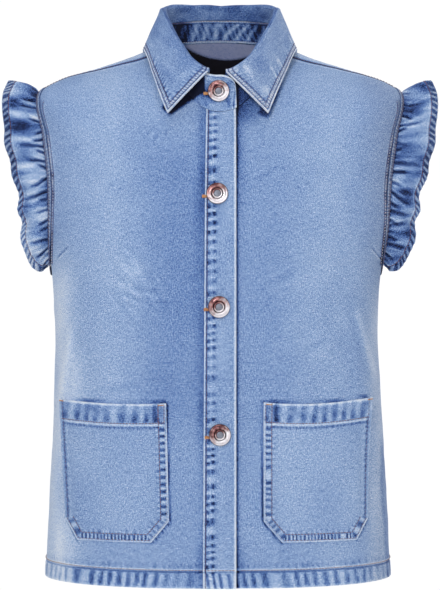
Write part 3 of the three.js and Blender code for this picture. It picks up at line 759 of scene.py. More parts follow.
def hem_detail(girth, along, seed):
    """Height, wear and depth of colour of the roped hem; girth is the way round in mm."""
    zone = smooth((HEM_HEIGHT - 1.6 - along) / 2.4)
    slant = girth + 0.16 * along
    dark = patches(slant, 12.5, seed, 0.5)
    fine = rope(slant + 40, 5.0, seed + 5)
    low = smooth((along - 0.8) / 3)
    height = 0.3 * zone - (0.42 * dark - 0.16 * fine) * zone * (0.5 + 0.5 * bell(along, 10, 9))
    height = height - 0.45 * bell(along, HEM_ROW, 0.9) + 0.4 * bell(along, 21.2, 1.1)
    deep = within(dark + 0.3 * fine * (dark > 0)) * zone * (0.26 + 0.4 * low)
    deep += 0.14 * zone * np.clip(noise(girth / 5, along / 7, seed + 12), -1, 1)
    deep += 0.65 * bell(along, 18.6, 1.0)
    wear_and_highlight = within(-dark) * zone * 0.36 + 0.4 * bell(along, 0, 1.4) + 0.8 * bell(along, 21.1, 1.1)
    dashes = within(patches(girth, 6.2, seed + 9))
    deep += 0.4 * bell(along, 25, 2.4) * dashes
    return height, wear_and_highlight, deep


def strength_at(z, knots):
    """A value down the front from a few rows of height and strength."""
    heights, values = zip(*sorted(knots))
    return np.interp(z, heights, values)


# Height and strength of the unfaded cloth on either side of the placket, as seen from the front
LEFT_SHADE = (
    (-60, 0.5), (-90, 0.75), (-130, 0.8), (-170, 1.0), (-230, 0.55), (-300, 0.6), (-345, 0.8), (-400, 0.75),
    (-450, 0.3), (-520, 0.3), (-545, 0.7), (-577, 0.8),
)
RIGHT_SHADE = (
    (-50, 1.2), (-115, 1.35), (-160, 0.7), (-190, 0.24), (-260, 0.1), (-420, 0.08), (-520, 0.14),
    (-545, 0.7), (-577, 0.8),
)


def placket_shade(x, z):
    """The darker cloth beside the placket, where it was less worn."""
    ragged = 1 + 0.35 * noise(x / 7, z / 30, 11) + 0.25 * noise(x / 3, z / 12, 15)
    left_width = 8.5 + 3.5 * noise(0, z / 55, 12)
    right_width = 10 + 4 * noise(0, z / 55, 13)
    left = np.where(x < -10, bell(np.minimum(x + 17, 0), 0, left_width), 0) * strength_at(z, LEFT_SHADE)
    right = np.where(x > 10, bell(np.maximum(x - 17, 0), 0, right_width), 0) * strength_at(z, RIGHT_SHADE)
    return within((0.44 * left + 0.34 * right) * ragged)


def beside_line(x, z, start, end):
    """Distance off a line, positive to its lower right, and the share along it."""
    (x1, z1), (x2, z2) = start, end
    length = math.hypot(x2 - x1, z2 - z1)
    share = ((x - x1) * (x2 - x1) + (z - z1) * (z2 - z1)) / length**2
    off = ((x - x1) * (z2 - z1) - (z - z1) * (x2 - x1)) / length
    return off, share


# The leaf's two points and the front ends of its fold, as seen from the front
LEFT_POINT, LEFT_FOLD_END = (-54, -82), (-14, -34)
RIGHT_POINT, RIGHT_SHOULDER = (49, -82), (76, -22)


def painted_collar_shadow(x, z):
    """Painted shadow on the cloth under the collar's free edges, as seen from the front: below the left leaf,
    beside the right leaf and by the tab.
    """
    off, share = beside_line(x, z, LEFT_POINT, LEFT_FOLD_END)
    reach = mix(2.5, 19.0, within(share))
    under = DEEPEST * smooth((reach - off) / 4.5) * smooth((off + 14) / 6)
    under = under * smooth((share + 0.02) / 0.08) * (x < -14)
    off, share = beside_line(x, z, RIGHT_POINT, RIGHT_SHOULDER)
    beside = smooth((4.0 - off) / 3) * smooth((off + 12) / 6)
    beside = beside * smooth((share + 0.06) / 0.06) * smooth((0.75 - share) / 0.4)
    by_tab = smooth((x - 14) / 3) * smooth((54 - x) / 22) * smooth((z + 100) / 30)
    return np.clip(under + 0.85 * beside + 0.5 * by_tab, 0, DEEPEST)


def front_wash(x, z, seed):
    """Broad fading of the fronts: paler at the sides, partly worn and partly painted light, and worn over the
    chest.
    """
    wear_and_highlight = pale_sides_worn_and_lit(x, z) + 0.14 * bell(np.abs(x), 112, 44) + 0.2 * bell(x, -150, 10) * bell(z, -370, 60)
    wear_and_highlight += 0.07 * noise(x / 40, z / 60, seed + 7) + 0.06 * noise(x / 14, z / 20, seed + 8)
    # Pale diagonal streaks by the small creases on the wearer's right chest.
    pale_streaks = bell(x, -88, 26) * bell(z, -262, 30) * within(noise((x + z) / 5, (x - z) / 16, seed + 9))
    return wear_and_highlight + 0.5 * pale_streaks


def slant_of(base):
    """How a distance along each row shrinks when measured square to the panel's last edge."""
    edge = unit(np.gradient(base[:, -1], axis=0))
    row = unit(base[:, -1] - base[:, -2])
    return np.sqrt(1 - (edge * row).sum(-1) ** 2)[:, None]


def armhole_strip(base, to_side, along, z, seed):
    """The doubled edge inside the armhole band, with its ladder of small puckers and painted shade by the
    underarm.
    """
    off = to_side * slant_of(base) - BAND_WIDTH
    run = run_along(base[:, -1])[:, None]
    here = smooth((along - ARM_LOW - 1) / 5) * smooth((ARM_HIGH - 2 - along) / 6)
    ladder = rope(run, 3.4, seed + 30) * smooth((-82 - z) / 40)
    zone = smooth((off + 0.5) / 1) * smooth((4.6 - off) / 1) * here
    height = zone * (0.15 + 0.2 * ladder) - 0.3 * here * bell(off, 4.8, 0.7)
    wear_and_highlight = zone * (0.1 + 0.5 * within(ladder)) + 0.3 * here * bell(off, 6.3, 1.2)
    deep = zone * (0.2 + 0.75 * within(-ladder)) + 0.6 * here * bell(off, 4.8, 0.7)
    # Painted shade by the underarm, stronger on the wearer's left.
    underarm = smooth((-172 - z) / 50) * bell(off, 0, 7) * (0.5 if base[0, -1, 0] < 0 else 1.6)
    return height, wear_and_highlight, deep + here * (0.5 * bell(off, 0.2, 0.7) + 0.55 * underarm), zone


def pocket_side(shape, key, z):
    """A side edge's x at a height."""
    top_x, top_z, foot_x = shape[key]
    return mix(foot_x, top_x, (z - POCKET_FOOT) / (top_z - POCKET_FOOT))


def pocket_top(shape, x):
    """The height of the sagging top edge."""
    (outer, outer_z, _), (inner, inner_z, _) = shape["outer"], shape["inner"]
    share = within((x - outer) / (inner - outer))
    return mix(outer_z, inner_z, share) - 4 * shape["sag"] * share * (1 - share)


def pocket_drop_shadow(shape, x, z):
    """A painted drop shadow: the thin dark line just outside the pocket's top, inner side and foot."""
    edge, _, which = edge_distance(x, z, pocket_outline(shape, -1.0))
    outer, inner = shape["outer"][0], shape["inner"][0]
    across = (x > min(outer, inner)) & (x < max(outer, inner))
    above = bell(z - pocket_top(shape, x), 1.2, 0.9) * across
    return 0.95 * bell(edge, 0, 0.9) * (which > 0.5) + 0.7 * above


def side_seam(off, along, up, seed):
    """The worn ridge and puckers of the side seam below the armhole."""
    here = smooth((ARM_LOW - along) / 5)
    pucker = patches(up, 9.0, seed + 40, 0.5)
    wear_and_highlight = here * (0.35 * bell(off, 2.6, 1.4) + 0.25 * within(-pucker) * bell(off, 5, 3))
    return wear_and_highlight, here * (0.7 * bell(off, 0, 1.2) + 0.4 * within(pucker) * bell(off, 5, 3))


def side_shadow(x, z):
    """The wearer's left side turning out of the light, down to the hem."""
    turned = 7 + 2 * noise(z / 40, 0.5, 19)
    off = x.max(axis=1, keepdims=True) - x
    lower = smooth((-418 - z) / 24)
    return (x > 0) * lower * (0.34 * smooth((turned - off) / 1.6) + 0.3 * bell(off, turned, 1.4))


def pale_sides_worn_and_lit(x, z):
    """The paler sides, more on the wearer's right: partly worn, partly painted light."""
    uneven = 1 + 0.25 * noise(x / 9, z / 60, 17)
    fade = 0.66 * smooth((-x - 142) / 30) * smooth((-215 - z) / 60)
    return (fade + 0.34 * smooth((x - 142) / 30) * smooth((-240 - z) / 60)) * uneven


def build_front(name, left_side, seed):
    columns = np.concatenate([np.linspace(0, 0.88, 88), np.linspace(0.88, 1, 33)[1:]])
    edge = angle_at_x(LEFT_FRONT_EDGE if left_side else RIGHT_FRONT_EDGE, ROWS)
    side = side_edge(ROWS, False) * (1 if left_side else -1)
    angle = mix(edge[:, None], side[:, None], columns[None, :])
    along = np.broadcast_to(ROWS[:, None], angle.shape)
    base, _, _, normal = frame_at(angle, along)
    x, z = base[..., 0], base[..., 2]
    across, up = lengths(base, 1), lengths(base, 0)
    height, wear_and_highlight, deep = hem_detail(across + (300 if left_side else 0), along, seed)
    darts = crease_height(x, z, DARTS)
    folds = crease_height(x, z, FRONT_CREASES)
    height += folds + darts
    height += 0.5 * noise(x / 26, z / 32, seed + 2) + 0.22 * noise(x / 9, z / 12, seed + 3)
    # Darker unfaded cloth beside the placket, and painted shadow under the collar's edges.
    deep += placket_shade(x, z) + painted_collar_shadow(x, z)
    # Painted shade in the valleys of the darts and creases, and painted highlight on their ridges.
    deep += np.clip((-0.2 if left_side else -0.55) * darts - 0.2 * folds, 0, 0.7)
    middle = bell(np.abs(x), 46, 34) * smooth((-90 - z) / 60) * smooth((z + 460) / 80)
    deep += (0.04 if left_side else 0.17) * middle
    wear_and_highlight += front_wash(x, z, seed) + np.clip(0.6 * darts + 0.4 * folds, 0, 0.5)
    # The shoulder seam's roping, in front of the ridge. Its row moves away from it towards the collar.
    to_side = across[:, -1:] - across
    shoulder = smooth((along - ARM_HIGH - 1) / 5)
    row_at = 6.5 + 22 * smooth((ROWS - ARM_HIGH) / (TOP - ARM_HIGH))[:, None]
    pucker = rope(up, 5.5, seed + 4)
    height += shoulder * bell(to_side, 0.6 * row_at, 4.0) * (0.3 * pucker + 0.3)
    puckered = bell(to_side, 0.6 * row_at, 3.5) * within(-pucker) * 0.5
    deep += shoulder * (puckered + 1.4 * bell(to_side, row_at, 2.0))
    # The pale line along the shoulder seam is partly worn and partly a painted highlight.
    lit = bell(to_side, 0.6 * row_at, 0.2 * row_at) * (0.75 + 0.35 * pucker)
    wear_and_highlight += 0.85 * shoulder * (lit + 0.5 * bell(to_side, row_at + 4, 1.8))
    strip_height, strip_wear, strip_deep, strip = armhole_strip(base, to_side, along, z, seed)
    # The pocket's painted drop shadow on the panel.
    rim = pocket_drop_shadow(POCKETS["pocket_left" if left_side else "pocket_right"], x, z)
    height, wear_and_highlight, deep = height + strip_height, wear_and_highlight + strip_wear, deep + strip_deep + rim
    seam_wear, seam_deep = side_seam(to_side, along, up, seed)
    wear_and_highlight, deep = wear_and_highlight + seam_wear, deep + seam_deep + side_shadow(x, z)
    if left_side:
        # Painted shadow of the placket's free edge on the wearer's left front.
        deep += 0.85 * bell(np.maximum(x - 17.2, 0), 0, 1.9) * (x > 12) * smooth((-40 - z) / 20)
    sink = underlap(x, along) if left_side else 0.0
    thick = panel_thickness(along)
    outer = raised(base, normal, height - sink)
    inner = raised(base, normal, np.minimum(height, 0.2) - sink - thick)
    # Greyer towards the wearer's left side as painted shade, and greyer on the armhole strip.
    tint = 0.3 * smooth((x - 140) / 40) + (0.6 if left_side else 0.3) * strip
    piece = shell(name + "_cloth", outer, inner, (DENIM, WRONG), np.stack([across, up], -1), wear_and_highlight, deep, tint)
    dress(piece, name, "denim", cloth_area(base), FRONT_RATIO, "hung")
    normals = grid_normals(outer, normal)
    skip = [j for j in range(len(columns)) if across[0, j] > (34 if left_side else 2)]
    sew("rust", *row_line(outer, normals, up, HEM_ROW, skip), seed=seed)
    high = [i for i in range(len(ROWS)) if ROWS[i] > ARM_HIGH + 2]
    sew("plum", *column_line(outer, normals, across / row_at, 1.0, high, True), radius=0.34, seed=seed + 1)
    arm = [i for i in range(len(ROWS)) if ARM_LOW + 4 < ROWS[i] < ARM_HIGH - 3]
    inside = across * slant_of(base)
    line = column_line(outer, normals, inside, BAND_WIDTH + 5.0, arm, True)
    sew("plum", *line, stitch=2.0, gap=1.3, radius=0.36, seed=seed + 2)
    low = [i for i in arm if base[i, -1, 2] < -96]
    for distance, group, thick_thread in ((1.1, "plum", 0.36), (2.9, "pale", 0.5)):
        line = column_line(outer, normals, inside, BAND_WIDTH + distance, low, True)
        sew(group, *line, stitch=1.5, gap=1.7, radius=thick_thread, lift=0.05, seed=seed + 3)


def build_back():
    near_seam = np.linspace(0, 0.05, 12)
    columns = np.concatenate([near_seam, np.linspace(0.05, 0.95, 108)[1:-1], 1 - near_seam[::-1]])
    edge = side_edge(ROWS, True)
    angle = mix(edge[:, None], TURN - edge[:, None], columns[None, :])
    along = np.broadcast_to(ROWS[:, None], angle.shape)
    base, _, _, normal = frame_at(angle, along)
    x, z = base[..., 0], base[..., 2]
    across, up = lengths(base, 1), lengths(base, 0)
    height, wear_and_highlight, deep = hem_detail(across + 700, along, 61)
    height += crease_height(x, z, BACK_CREASES)
    height += 0.5 * noise(x / 30, z / 36, 62) + 0.22 * noise(x / 9, z / 12, 63)
    wear_and_highlight += 0.2 * bell(np.abs(x), 92, 60) * smooth((-60 - z) / 60) + 0.12 * noise(x / 40, z / 60, 64)
    off = np.minimum(across, across[:, -1:] - across)
    seam_wear, seam_deep = side_seam(off, along, up, 67)
    wear_and_highlight += pale_sides_worn_and_lit(x, z) + 0.1 * noise(x / 14, z / 20, 66) + seam_wear
    deep += 0.1 * bell(x, 0, 26) + seam_deep
    # Greyer towards the wearer's left side as painted shade.
    tint = 0.3 * smooth((x - 140) / 40)
    thick = panel_thickness(along)
    outer = base + normal * height[..., None]
    inner = raised(base, normal, np.minimum(height, 0.2) - thick)
    # Painted shadow inside the back neck, on the wrong side, below a curved edge and fading lower down.
    shade_edge = -9 + 0.006 * (x - 8) ** 2
    neck_shade = DEEPEST * smooth((shade_edge - z) / 6 + 0.5) * smooth((z + 190) / 110)
    neck_shade = neck_shade * smooth((118 - np.abs(x)) / 40)
    uv, deep = np.stack([across, up], -1), (deep, np.maximum(deep, neck_shade))
    piece = shell("back_cloth", outer, inner, (DENIM, WRONG), uv, wear_and_highlight, deep, tint)
    dress(piece, "back", "denim", cloth_area(base), BACK_RATIO, "hung")
    normals = grid_normals(outer, normal)
    sew("rust", *row_line(outer, normals, up, HEM_ROW, range(len(columns))), seed=65)


def build_placket():
    rows = np.concatenate([ROWS[ROWS < TOP - 3.2], [TOP - 3.2]])
    rows = np.sort(np.concatenate([rows, (rows[1:] + rows[:-1]) / 2]))
    columns = np.concatenate([np.linspace(0, 0.14, 8), np.linspace(0.14, 1, 28)[1:]])
    left = mix(PLACKET["left_bottom"], PLACKET["left_top"], rows / TOP)
    x_at = mix(left[:, None], PLACKET["right"], columns[None, :])
    along = np.broadcast_to(rows[:, None], x_at.shape)
    base, _, _, normal = frame_at(angle_at_x(x_at, along), along)
    x, z = base[..., 0], base[..., 2]
    across, up = lengths(base, 1), lengths(base, 0)
    from_left, from_right = across, across[:, -1:] - across
    hem = smooth((HEM_HEIGHT - 1.6 - along) / 2.4)
    ladder = patches(up, 9.6, 71, 0.6)
    shifted = patches(up - 1.2, 9.6, 71, 0.56)
    dark = 0.8 * within(ladder) * bell(from_left, 4.9, 2.0) + within(shifted) * bell(from_left, 9.9, 2.1)
    dark += 0.22 * within(shifted) * bell(from_left, 12.0, 3.4)
    dark = dark * (1.0 + 0.6 * noise(across / 4, up / 7, 78))
    rung = within(-ladder + 0.1) * smooth((from_left - 2.6) / 1) * smooth((13.5 - from_left) / 4)
    between = bell(from_left, 7.5, 1.0)
    height = 0.4 * bell(from_left, 1.2, 0.8) - 0.45 * bell(from_left, 2.7, 0.6) - 0.5 * dark + 0.28 * rung
    height = height - 1.0 * smooth((0.9 - from_right) / 0.9) - 0.6 * smooth((0.5 - from_left) / 0.5)
    height += 0.35 * noise(across / 12, up / 20, 72) * smooth((from_left - 9) / 5)
    wear_and_highlight = 1.0 * bell(from_right, 0.9, 1.5) + 0.8 * bell(from_left, 0.9, 1.1) + 0.34 * rung + 0.15 * between
    wear_and_highlight += 0.08 + 0.1 * noise(across / 14, up / 30, 75)
    deep = (0.95 * dark + 1.0 * bell(from_left, 2.6, 0.8)) * (1 - hem) + 0.16 * bell(from_right, 3.4, 0.8)
    roped = patches(across + 0.16 * along, 9.5, 74, 0.45)
    height += hem * (0.3 - 0.35 * roped)
    deep += hem * within(roped) * 0.75 + 0.3 * bell(along, 18.8, 0.8)
    wear_and_highlight += hem * within(-roped) * 0.4 + 0.5 * bell(along, 0, 1.4) + 0.6 * bell(along, 21, 1.1)
    # Painted shade in each buttonhole's slit, beside the button.
    for button in BUTTONS[1:]:
        slot = bell(z, button["z"] - 3.2, 2.6) * smooth((-4 - x) / 3) * smooth((x + 13) / 2)
        deep += 0.75 * slot
    outer = raised(base, normal, GAP + DOUBLED + height)
    inner = raised(base, normal, GAP + 0 * height)
    piece = shell("placket_cloth", outer, inner, (DENIM, DENIM), np.stack([across + 40, up], -1), wear_and_highlight, deep)
    dress(piece, "placket", "denim", cloth_area(base), PLACKET_RATIO, "laid", rests_on=["front_right"])
    normals = grid_normals(outer, normal)
    sew("plum", *column_line(outer, normals, across, 2.7, range(len(rows)), False), radius=0.36, seed=76)
    sew("rust", *row_line(outer, normals, up, HEM_ROW, range(1, len(columns) - 1)), seed=77)


# Pockets
def pocket_outline(shape, inset):
    """Corners of the pocket's edge moved in by an inset, from the outer top round to the inner top."""
    clip_z, way = POCKET_FOOT + CLIP_HEIGHT, shape["way"]
    corners = np.array([
        shape["outer"][:2],
        (pocket_side(shape, "outer", clip_z), clip_z),
        (shape["outer"][2] + way * CLIP_OUTER, POCKET_FOOT),
        (shape["inner"][2] - way * CLIP_INNER, POCKET_FOOT),
        (pocket_side(shape, "inner", clip_z), clip_z),
        shape["inner"][:2],
    ])
    if inset == 0:
        return corners
    middle = corners.mean(0)
    lines = []
    for a, b in zip(corners, corners[1:]):
        direction = (b - a) / np.linalg.norm(b - a)
        normal = np.array([-direction[1], direction[0]])
        if np.dot(middle - a, normal) < 0:
            normal = -normal
        lines.append((a + normal * inset, direction))
    moved = [lines[0][0]]
    for (start, heading), (after, turned) in zip(lines, lines[1:]):
        step = np.linalg.solve(np.array([heading, -turned]).T, after - start)[0]
        moved.append(start + heading * step)
    moved.append(corners[-1] + (lines[-1][0] - corners[-2]))
    return np.array(moved)


def edge_distance(x, z, corners):
    """Distance to the nearest edge, the way round to it, and which edge it is."""
    best, around, which = np.full(x.shape, 1e9), np.zeros(x.shape), np.zeros(x.shape)
    run = 0.0
    for k, (a, b) in enumerate(zip(corners, corners[1:])):
        length = np.linalg.norm(b - a)
        t = within(((x - a[0]) * (b[0] - a[0]) + (z - a[1]) * (b[1] - a[1])) / length**2)
        off = np.hypot(x - a[0] - t * (b[0] - a[0]), z - a[1] - t * (b[1] - a[1]))
        around = np.where(off < best, run + t * length, around)
        which = np.where(off < best, k, which)
        best = np.minimum(best, off)
        run += length
    return best, around, which


def pocket_fields(shape, x, z, seed):
    edge, around, which = edge_distance(x, z, pocket_outline(shape, 0))
    down = pocket_top(shape, x) - z
    hem = smooth((POCKET_HEM - 1.0 - down) / 1.2)
    at_foot = (which >= 1.5) & (which <= 2.5)
    at_outer = which < 0.5
    ladder = np.where(at_foot, patches(around, 3.9, seed, 0.5), patches(around, 7.2, seed, 0.5))
    faint = np.where(at_outer, 0.12, 1.0)
    dots = at_outer * bell(edge, 3.4, 1.0) * (0.35 + 0.65 * within(patches(around, 3.8, seed + 12, 0.6)))
    border = smooth((edge - 1.5) / 1.0) * smooth((8.0 - edge) / 1.2) * (1 - hem)
    inside = smooth((edge - 8) / 3) * (1 - hem)
    ripple = patches(x + 0.1 * down, 11.5, seed + 3, 0.45)
    lower = smooth((down - 8) / 6)
    blots = noise(x / 5, down / 6, seed + 14)
    height = 0.3 * bell(edge, 0.7, 0.8) - 0.34 * border * ladder + 0.6 * hem
    height = height - 0.3 * hem * ripple * (0.3 + 0.7 * lower)
    height = height - 0.4 * bell(down, 20.2, 0.8) * (edge > 1) + 0.4 * bell(down, 22.4, 0.9) * (edge > 1.5)
    height = height - 0.3 * bell(edge, 1.8, 0.6) - 0.35 * bell(edge, 8.2, 0.7) * (1 - hem)
    height += 0.4 * inside * noise(x / 30, z / 34, seed + 5)
    uneven = 0.75 + 0.4 * noise(around / 30, 0.5, seed + 7)
    wear_and_highlight = 1.2 * bell(edge, 0.2, 1.2) * uneven * np.where(at_outer, 0.3, 1.0)
    wear_and_highlight += 0.65 * border * within(-ladder) * faint + 0.2 * at_outer * bell(edge, 6, 2)
    wear_and_highlight += 1.5 * bell(down, 0.6, 1.4) * uneven + 0.2 * hem * within(-blots)
    wear_and_highlight += 0.4 * hem * within(-ripple) + 0.8 * bell(down, 22.3, 0.9) * smooth((edge - 1) / 2)
    wear_and_highlight += inside * (0.06 + 0.1 * noise(x / 36, z / 44, seed + 6))
    wear_and_highlight += 0.07 if shape["way"] < 0 else 0.02
    wear_and_highlight += 0.3 * bell(edge, 9.8, 1.2) * (1 - hem) * faint
    deep = border * within(ladder) * faint * np.where(at_foot, 1.2, 0.9) + 0.9 * dots * (1 - 0.6 * hem)
    deep += hem * within(ripple) * (0.1 + 0.38 * lower) + hem * (0.12 + 0.26 * within(blots))
    # Dark dashes below the pocket's hem: painted shadow of its small folds.
    dashes = within(patches(x, 3.9, seed + 8, 0.55))
    deep += bell(down, 24.8, 1.3) * (0.3 + 0.6 * dashes) * smooth((edge - 2) / 2)
    ticks = within(patches(around, 5.5, seed + 9)) * (1 - hem) * faint
    deep += 0.55 * smooth((edge - 8.4) / 1) * smooth((15 - edge) / 6) * ticks
    deep += 0.4 * bell(edge, 8.2, 0.6) * (1 - hem) * faint + 0.35 * bell(edge, 1.9, 0.6) * faint
    near_box = bell(edge, 12, 2.6) * (which > 3.5) * hem
    return height, wear_and_highlight, deep + 0.7 * near_box


def build_pocket(name, seed):
    shape = POCKETS[name]
    left_side = name == "pocket_left"
    way, foot_width = shape["way"], abs(shape["inner"][2] - shape["outer"][2])
    clip_outer, clip_inner = CLIP_OUTER / foot_width, CLIP_INNER / foot_width
    outer_part, inner_part = np.linspace(0, clip_outer, 12), np.linspace(1 - clip_inner, 1, 17)
    columns = np.concatenate([outer_part, np.linspace(clip_outer, 1 - clip_inner, 70)[1:-1], inner_part])
    rows = np.linspace(0, 1, 112)
    rise = np.maximum(1 - columns / clip_outer, 1 - (1 - columns) / clip_inner)
    low = POCKET_FOOT + CLIP_HEIGHT * within(rise)
    top_at = pocket_top(shape, mix(shape["outer"][0], shape["inner"][0], columns))
    z = mix(low[None, :], top_at[None, :], rows[:, None])
    x = mix(pocket_side(shape, "outer", z), pocket_side(shape, "inner", z), columns[None, :])

    def lay(x, z, lift):
        angle, along = place_at(x, z)
        base, _, _, normal = frame_at(angle, along)
        sink = underlap(base[..., 0], along) if left_side else 0.0
        return base + normal * (lift - sink)[..., None], normal

    height, wear_and_highlight, deep = pocket_fields(shape, x, z, seed)
    outer, _ = lay(x, z, GAP + CLOTH + height)
    inner, _ = lay(x, z, GAP + 0 * height)
    uv = np.stack([lengths(outer, 1) + seed, lengths(outer, 0) + seed], -1)
    piece = shell(name + "_cloth", outer, inner, (DENIM, DENIM), uv, wear_and_highlight, deep)
    front = "front_left" if left_side else "front_right"
    dress(piece, name, "denim", cloth_area(outer), POCKET_RATIO, "laid", rests_on=[front])

    def line(points, group, turns, **how):
        points = np.asarray(points, float)
        at = run_along(points)
        where = np.linspace(0, at[-1], max(int(at[-1] / 1.2), 4))
        px, pz = np.interp(where, at, points[:, 0]), np.interp(where, at, points[:, 1])
        lift = GAP + CLOTH + pocket_fields(shape, px, pz, seed)[0]
        sew(group, *lay(px, pz, lift), seed=turns, **how)

    outer_row = pocket_outline(shape, EDGE_ROW)
    line(outer_row[1:4], "rust", seed + 1, radius=0.3)
    line(outer_row[3:], "pale", seed + 9, radius=0.3)
    inner_row = pocket_outline(shape, INSIDE_ROW)
    line(inner_row[1:], "rust", seed + 2, radius=0.36)
    top_outer, top_inner = shape["outer"][0], shape["inner"][0]
    far, near = top_outer + way * EDGE_ROW, top_inner - way * EDGE_ROW
    box = top_inner - way * INSIDE_ROW

    def level(start, end, drop):
        xs = np.linspace(start, end, 14)
        return np.stack([xs, pocket_top(shape, xs) - drop], -1)

    def upright(x, drop):
        top = pocket_top(shape, x)
        return [(x, top - drop), (x, top - TOP_ROW)]

    tack = {"stitch": 1.6, "gap": 0.1}
    line(level(far, near, TOP_ROW), "rust", seed + 3, radius=0.36)
    line(level(near, box, 1.8), "orange", seed + 4, radius=0.55, **tack)
    line(upright(near, 2), "rust", seed + 6, radius=0.3)
    line(upright(box, 2), "rust", seed + 7, radius=0.3)
    line(level(top_outer + way * 0.6, top_outer + way * 4.6, 1.6), "orange", seed + 5, radius=0.6, **tack)
    line(pocket_outline(shape, DOTTED_ROW)[:2], "plum", seed + 10, stitch=2.2, gap=1.6, radius=0.34)


# Armholes
def armhole_place(turn):
    cut = np.where(np.sin(turn) >= 0, FRONT_CUT, BACK_CUT)
    return SIDE - cut * np.sin(turn), mix(ARM_LOW, ARM_HIGH, (1 - np.cos(turn)) / 2)


def armhole_frame(turn, sign):
    angle, along = armhole_place(turn)
    after, before = armhole_place(turn + 0.01), armhole_place(turn - 0.01)
    tangent = unit(surface(sign * after[0], after[1]) - surface(sign * before[0], before[1]))
    point, around, up, normal = frame_at(sign * angle, along, *BROAD)
    off = unit(np.cross(tangent, normal)) * sign
    return point, around, up, normal, tangent, off, angle, along


def build_band(side, sign):
    count = 400
    turns = np.linspace(0, TURN, count, endpoint=False)
    widths = np.linspace(0, 1, 14)
    _, around, up, _, _, off, angle, along = armhole_frame(turns, sign)
    onto = -off * BAND_WIDTH
    around_around, around_up, up_up = (around * around).sum(-1), (around * up).sum(-1), (up * up).sum(-1)
    onto_around, onto_up = (onto * around).sum(-1), (onto * up).sum(-1)
    spread = around_around * up_up - around_up * around_up
    turn_step = (onto_around * up_up - onto_up * around_up) / spread
    along_step = (onto_up * around_around - onto_around * around_up) / spread
    angles = sign * angle[:, None] + turn_step[:, None] * widths
    alongs = along[:, None] + along_step[:, None] * widths
    base, _, _, normal = frame_at(angles, alongs, *BROAD)
    ring = run_along(base[:, 0])[:, None]
    inset = widths[None, :] * BAND_WIDTH
    pucker = rope(ring, 3.6, 81 if sign > 0 else 84)
    middle = bell(inset, 2.3, 1.2) + bell(inset, 5.2, 1.3)
    height = 0.24 * pucker * middle - 0.3 * bell(inset, 0.8, 0.5) - 0.3 * bell(inset, 3.6, 0.5)
    height = height - 0.5 * smooth((inset - 6.8) / 0.7)
    wear_and_highlight = 0.25 * bell(inset, 6.9, 0.6) + 0.85 * within(pucker) * middle
    deep = 0.75 * within(-pucker) * middle + 0.9 * bell(inset, 0.5, 0.7) + 0.7 * bell(inset, 3.6, 0.5)
    # The last term is painted shade on the band's lower part, towards the underarm.
    deep += 0.6 * bell(inset, 7.6, 0.4) + 0.7 * smooth((-200 - base[..., 2]) / 36)
    outer = raised(base, normal, BAND_LIFT + BAND_THICK + height)
    inner = raised(base, normal, BAND_LIFT + 0 * height)
    uv = np.stack([np.broadcast_to(inset, height.shape), np.broadcast_to(ring, height.shape)], -1)
    name = "armhole_band_" + side
    tint = 0.8 if sign > 0 else 0.5
    piece = shell(name + "_cloth", outer, inner, (DENIM, DENIM), uv, wear_and_highlight, deep, tint, looped=True)
    ratio = float(ring[-1, 0]) / BAND_WIDTH
    dress(piece, name, "trim_denim", cloth_area(base, True), ratio, "laid", rests_on=["back"])

    def closed(grid, j):
        return np.concatenate([grid[:, j], grid[:1, j]], 0)

    for j, seed in ((1, 1), (6, 2)):
        sew("plum", closed(outer, j), closed(normal, j), stitch=1.9, gap=0.9, radius=0.3, seed=seed)


RUFFLE_CURVES = [
    table_curve([row[0] for row in RUFFLE_SHAPE], [row[i] for row in RUFFLE_SHAPE])
    for i in range(1, len(RUFFLE_SHAPE[0]))
]
# Creases of the gathered front, as seen: height of the seam end, length, depth, and lean down per mm
RIGHT_CREASES = (
    (-53, 9, 1.6, 0.3), (-62, 14, 2.6, 0.1), (-70, 19, 1.8, -0.02), (-86, 11, 2.8, -0.35),
    (-96, 7, 2.0, 0.4), (-104, 10, 2.8, 0.3), (-113, 22, 2.2, -0.08), (-121, 8, 2.4, -0.5),
    (-129, 18, 3.0, -0.1), (-137, 9, 2.2, -0.5), (-146, 17, 3.4, 0.5), (-160, 24, 3.2, 0.3),
    (-169, 9, 2.4, 0.1), (-180, 12, 2.2, 0.2), (-190, 10, 2.8, 0.5), (-199, 9, 2.0, 0.3),
    (-212, 22, 2.4, 0.05), (-220, 16, 3.2, 0.6), (-232, 14, 3.4, 0.7),
)
LEFT_CREASES = (
    (-54, 8, 2.2, 0.5), (-66, 10, 2.8, 0.3), (-78, 12, 2.6, 0.4), (-90, 24, 2.0, -0.1),
    (-97, 8, 2.8, -0.5), (-108, 10, 2.0, 0.3), (-117, 8, 2.4, -0.3), (-130, 26, 2.2, 0.08),
    (-139, 14, 3.2, 0.1), (-150, 10, 2.2, 0.4), (-160, 20, 3.4, 0.6), (-172, 12, 2.4, 0.5),
    (-181, 22, 3.0, 0.2), (-190, 10, 2.6, 0.5), (-198, 20, 2.8, -0.2), (-208, 10, 2.2, 0.3),
    (-216, 24, 2.6, 0.1), (-226, 12, 3.0, 0.5), (-236, 12, 3.0, 0.4),
)


def wave_phase(share):
    return share + 0.013 * np.sin(19 * share + 2) + 0.006 * np.sin(41 * share)


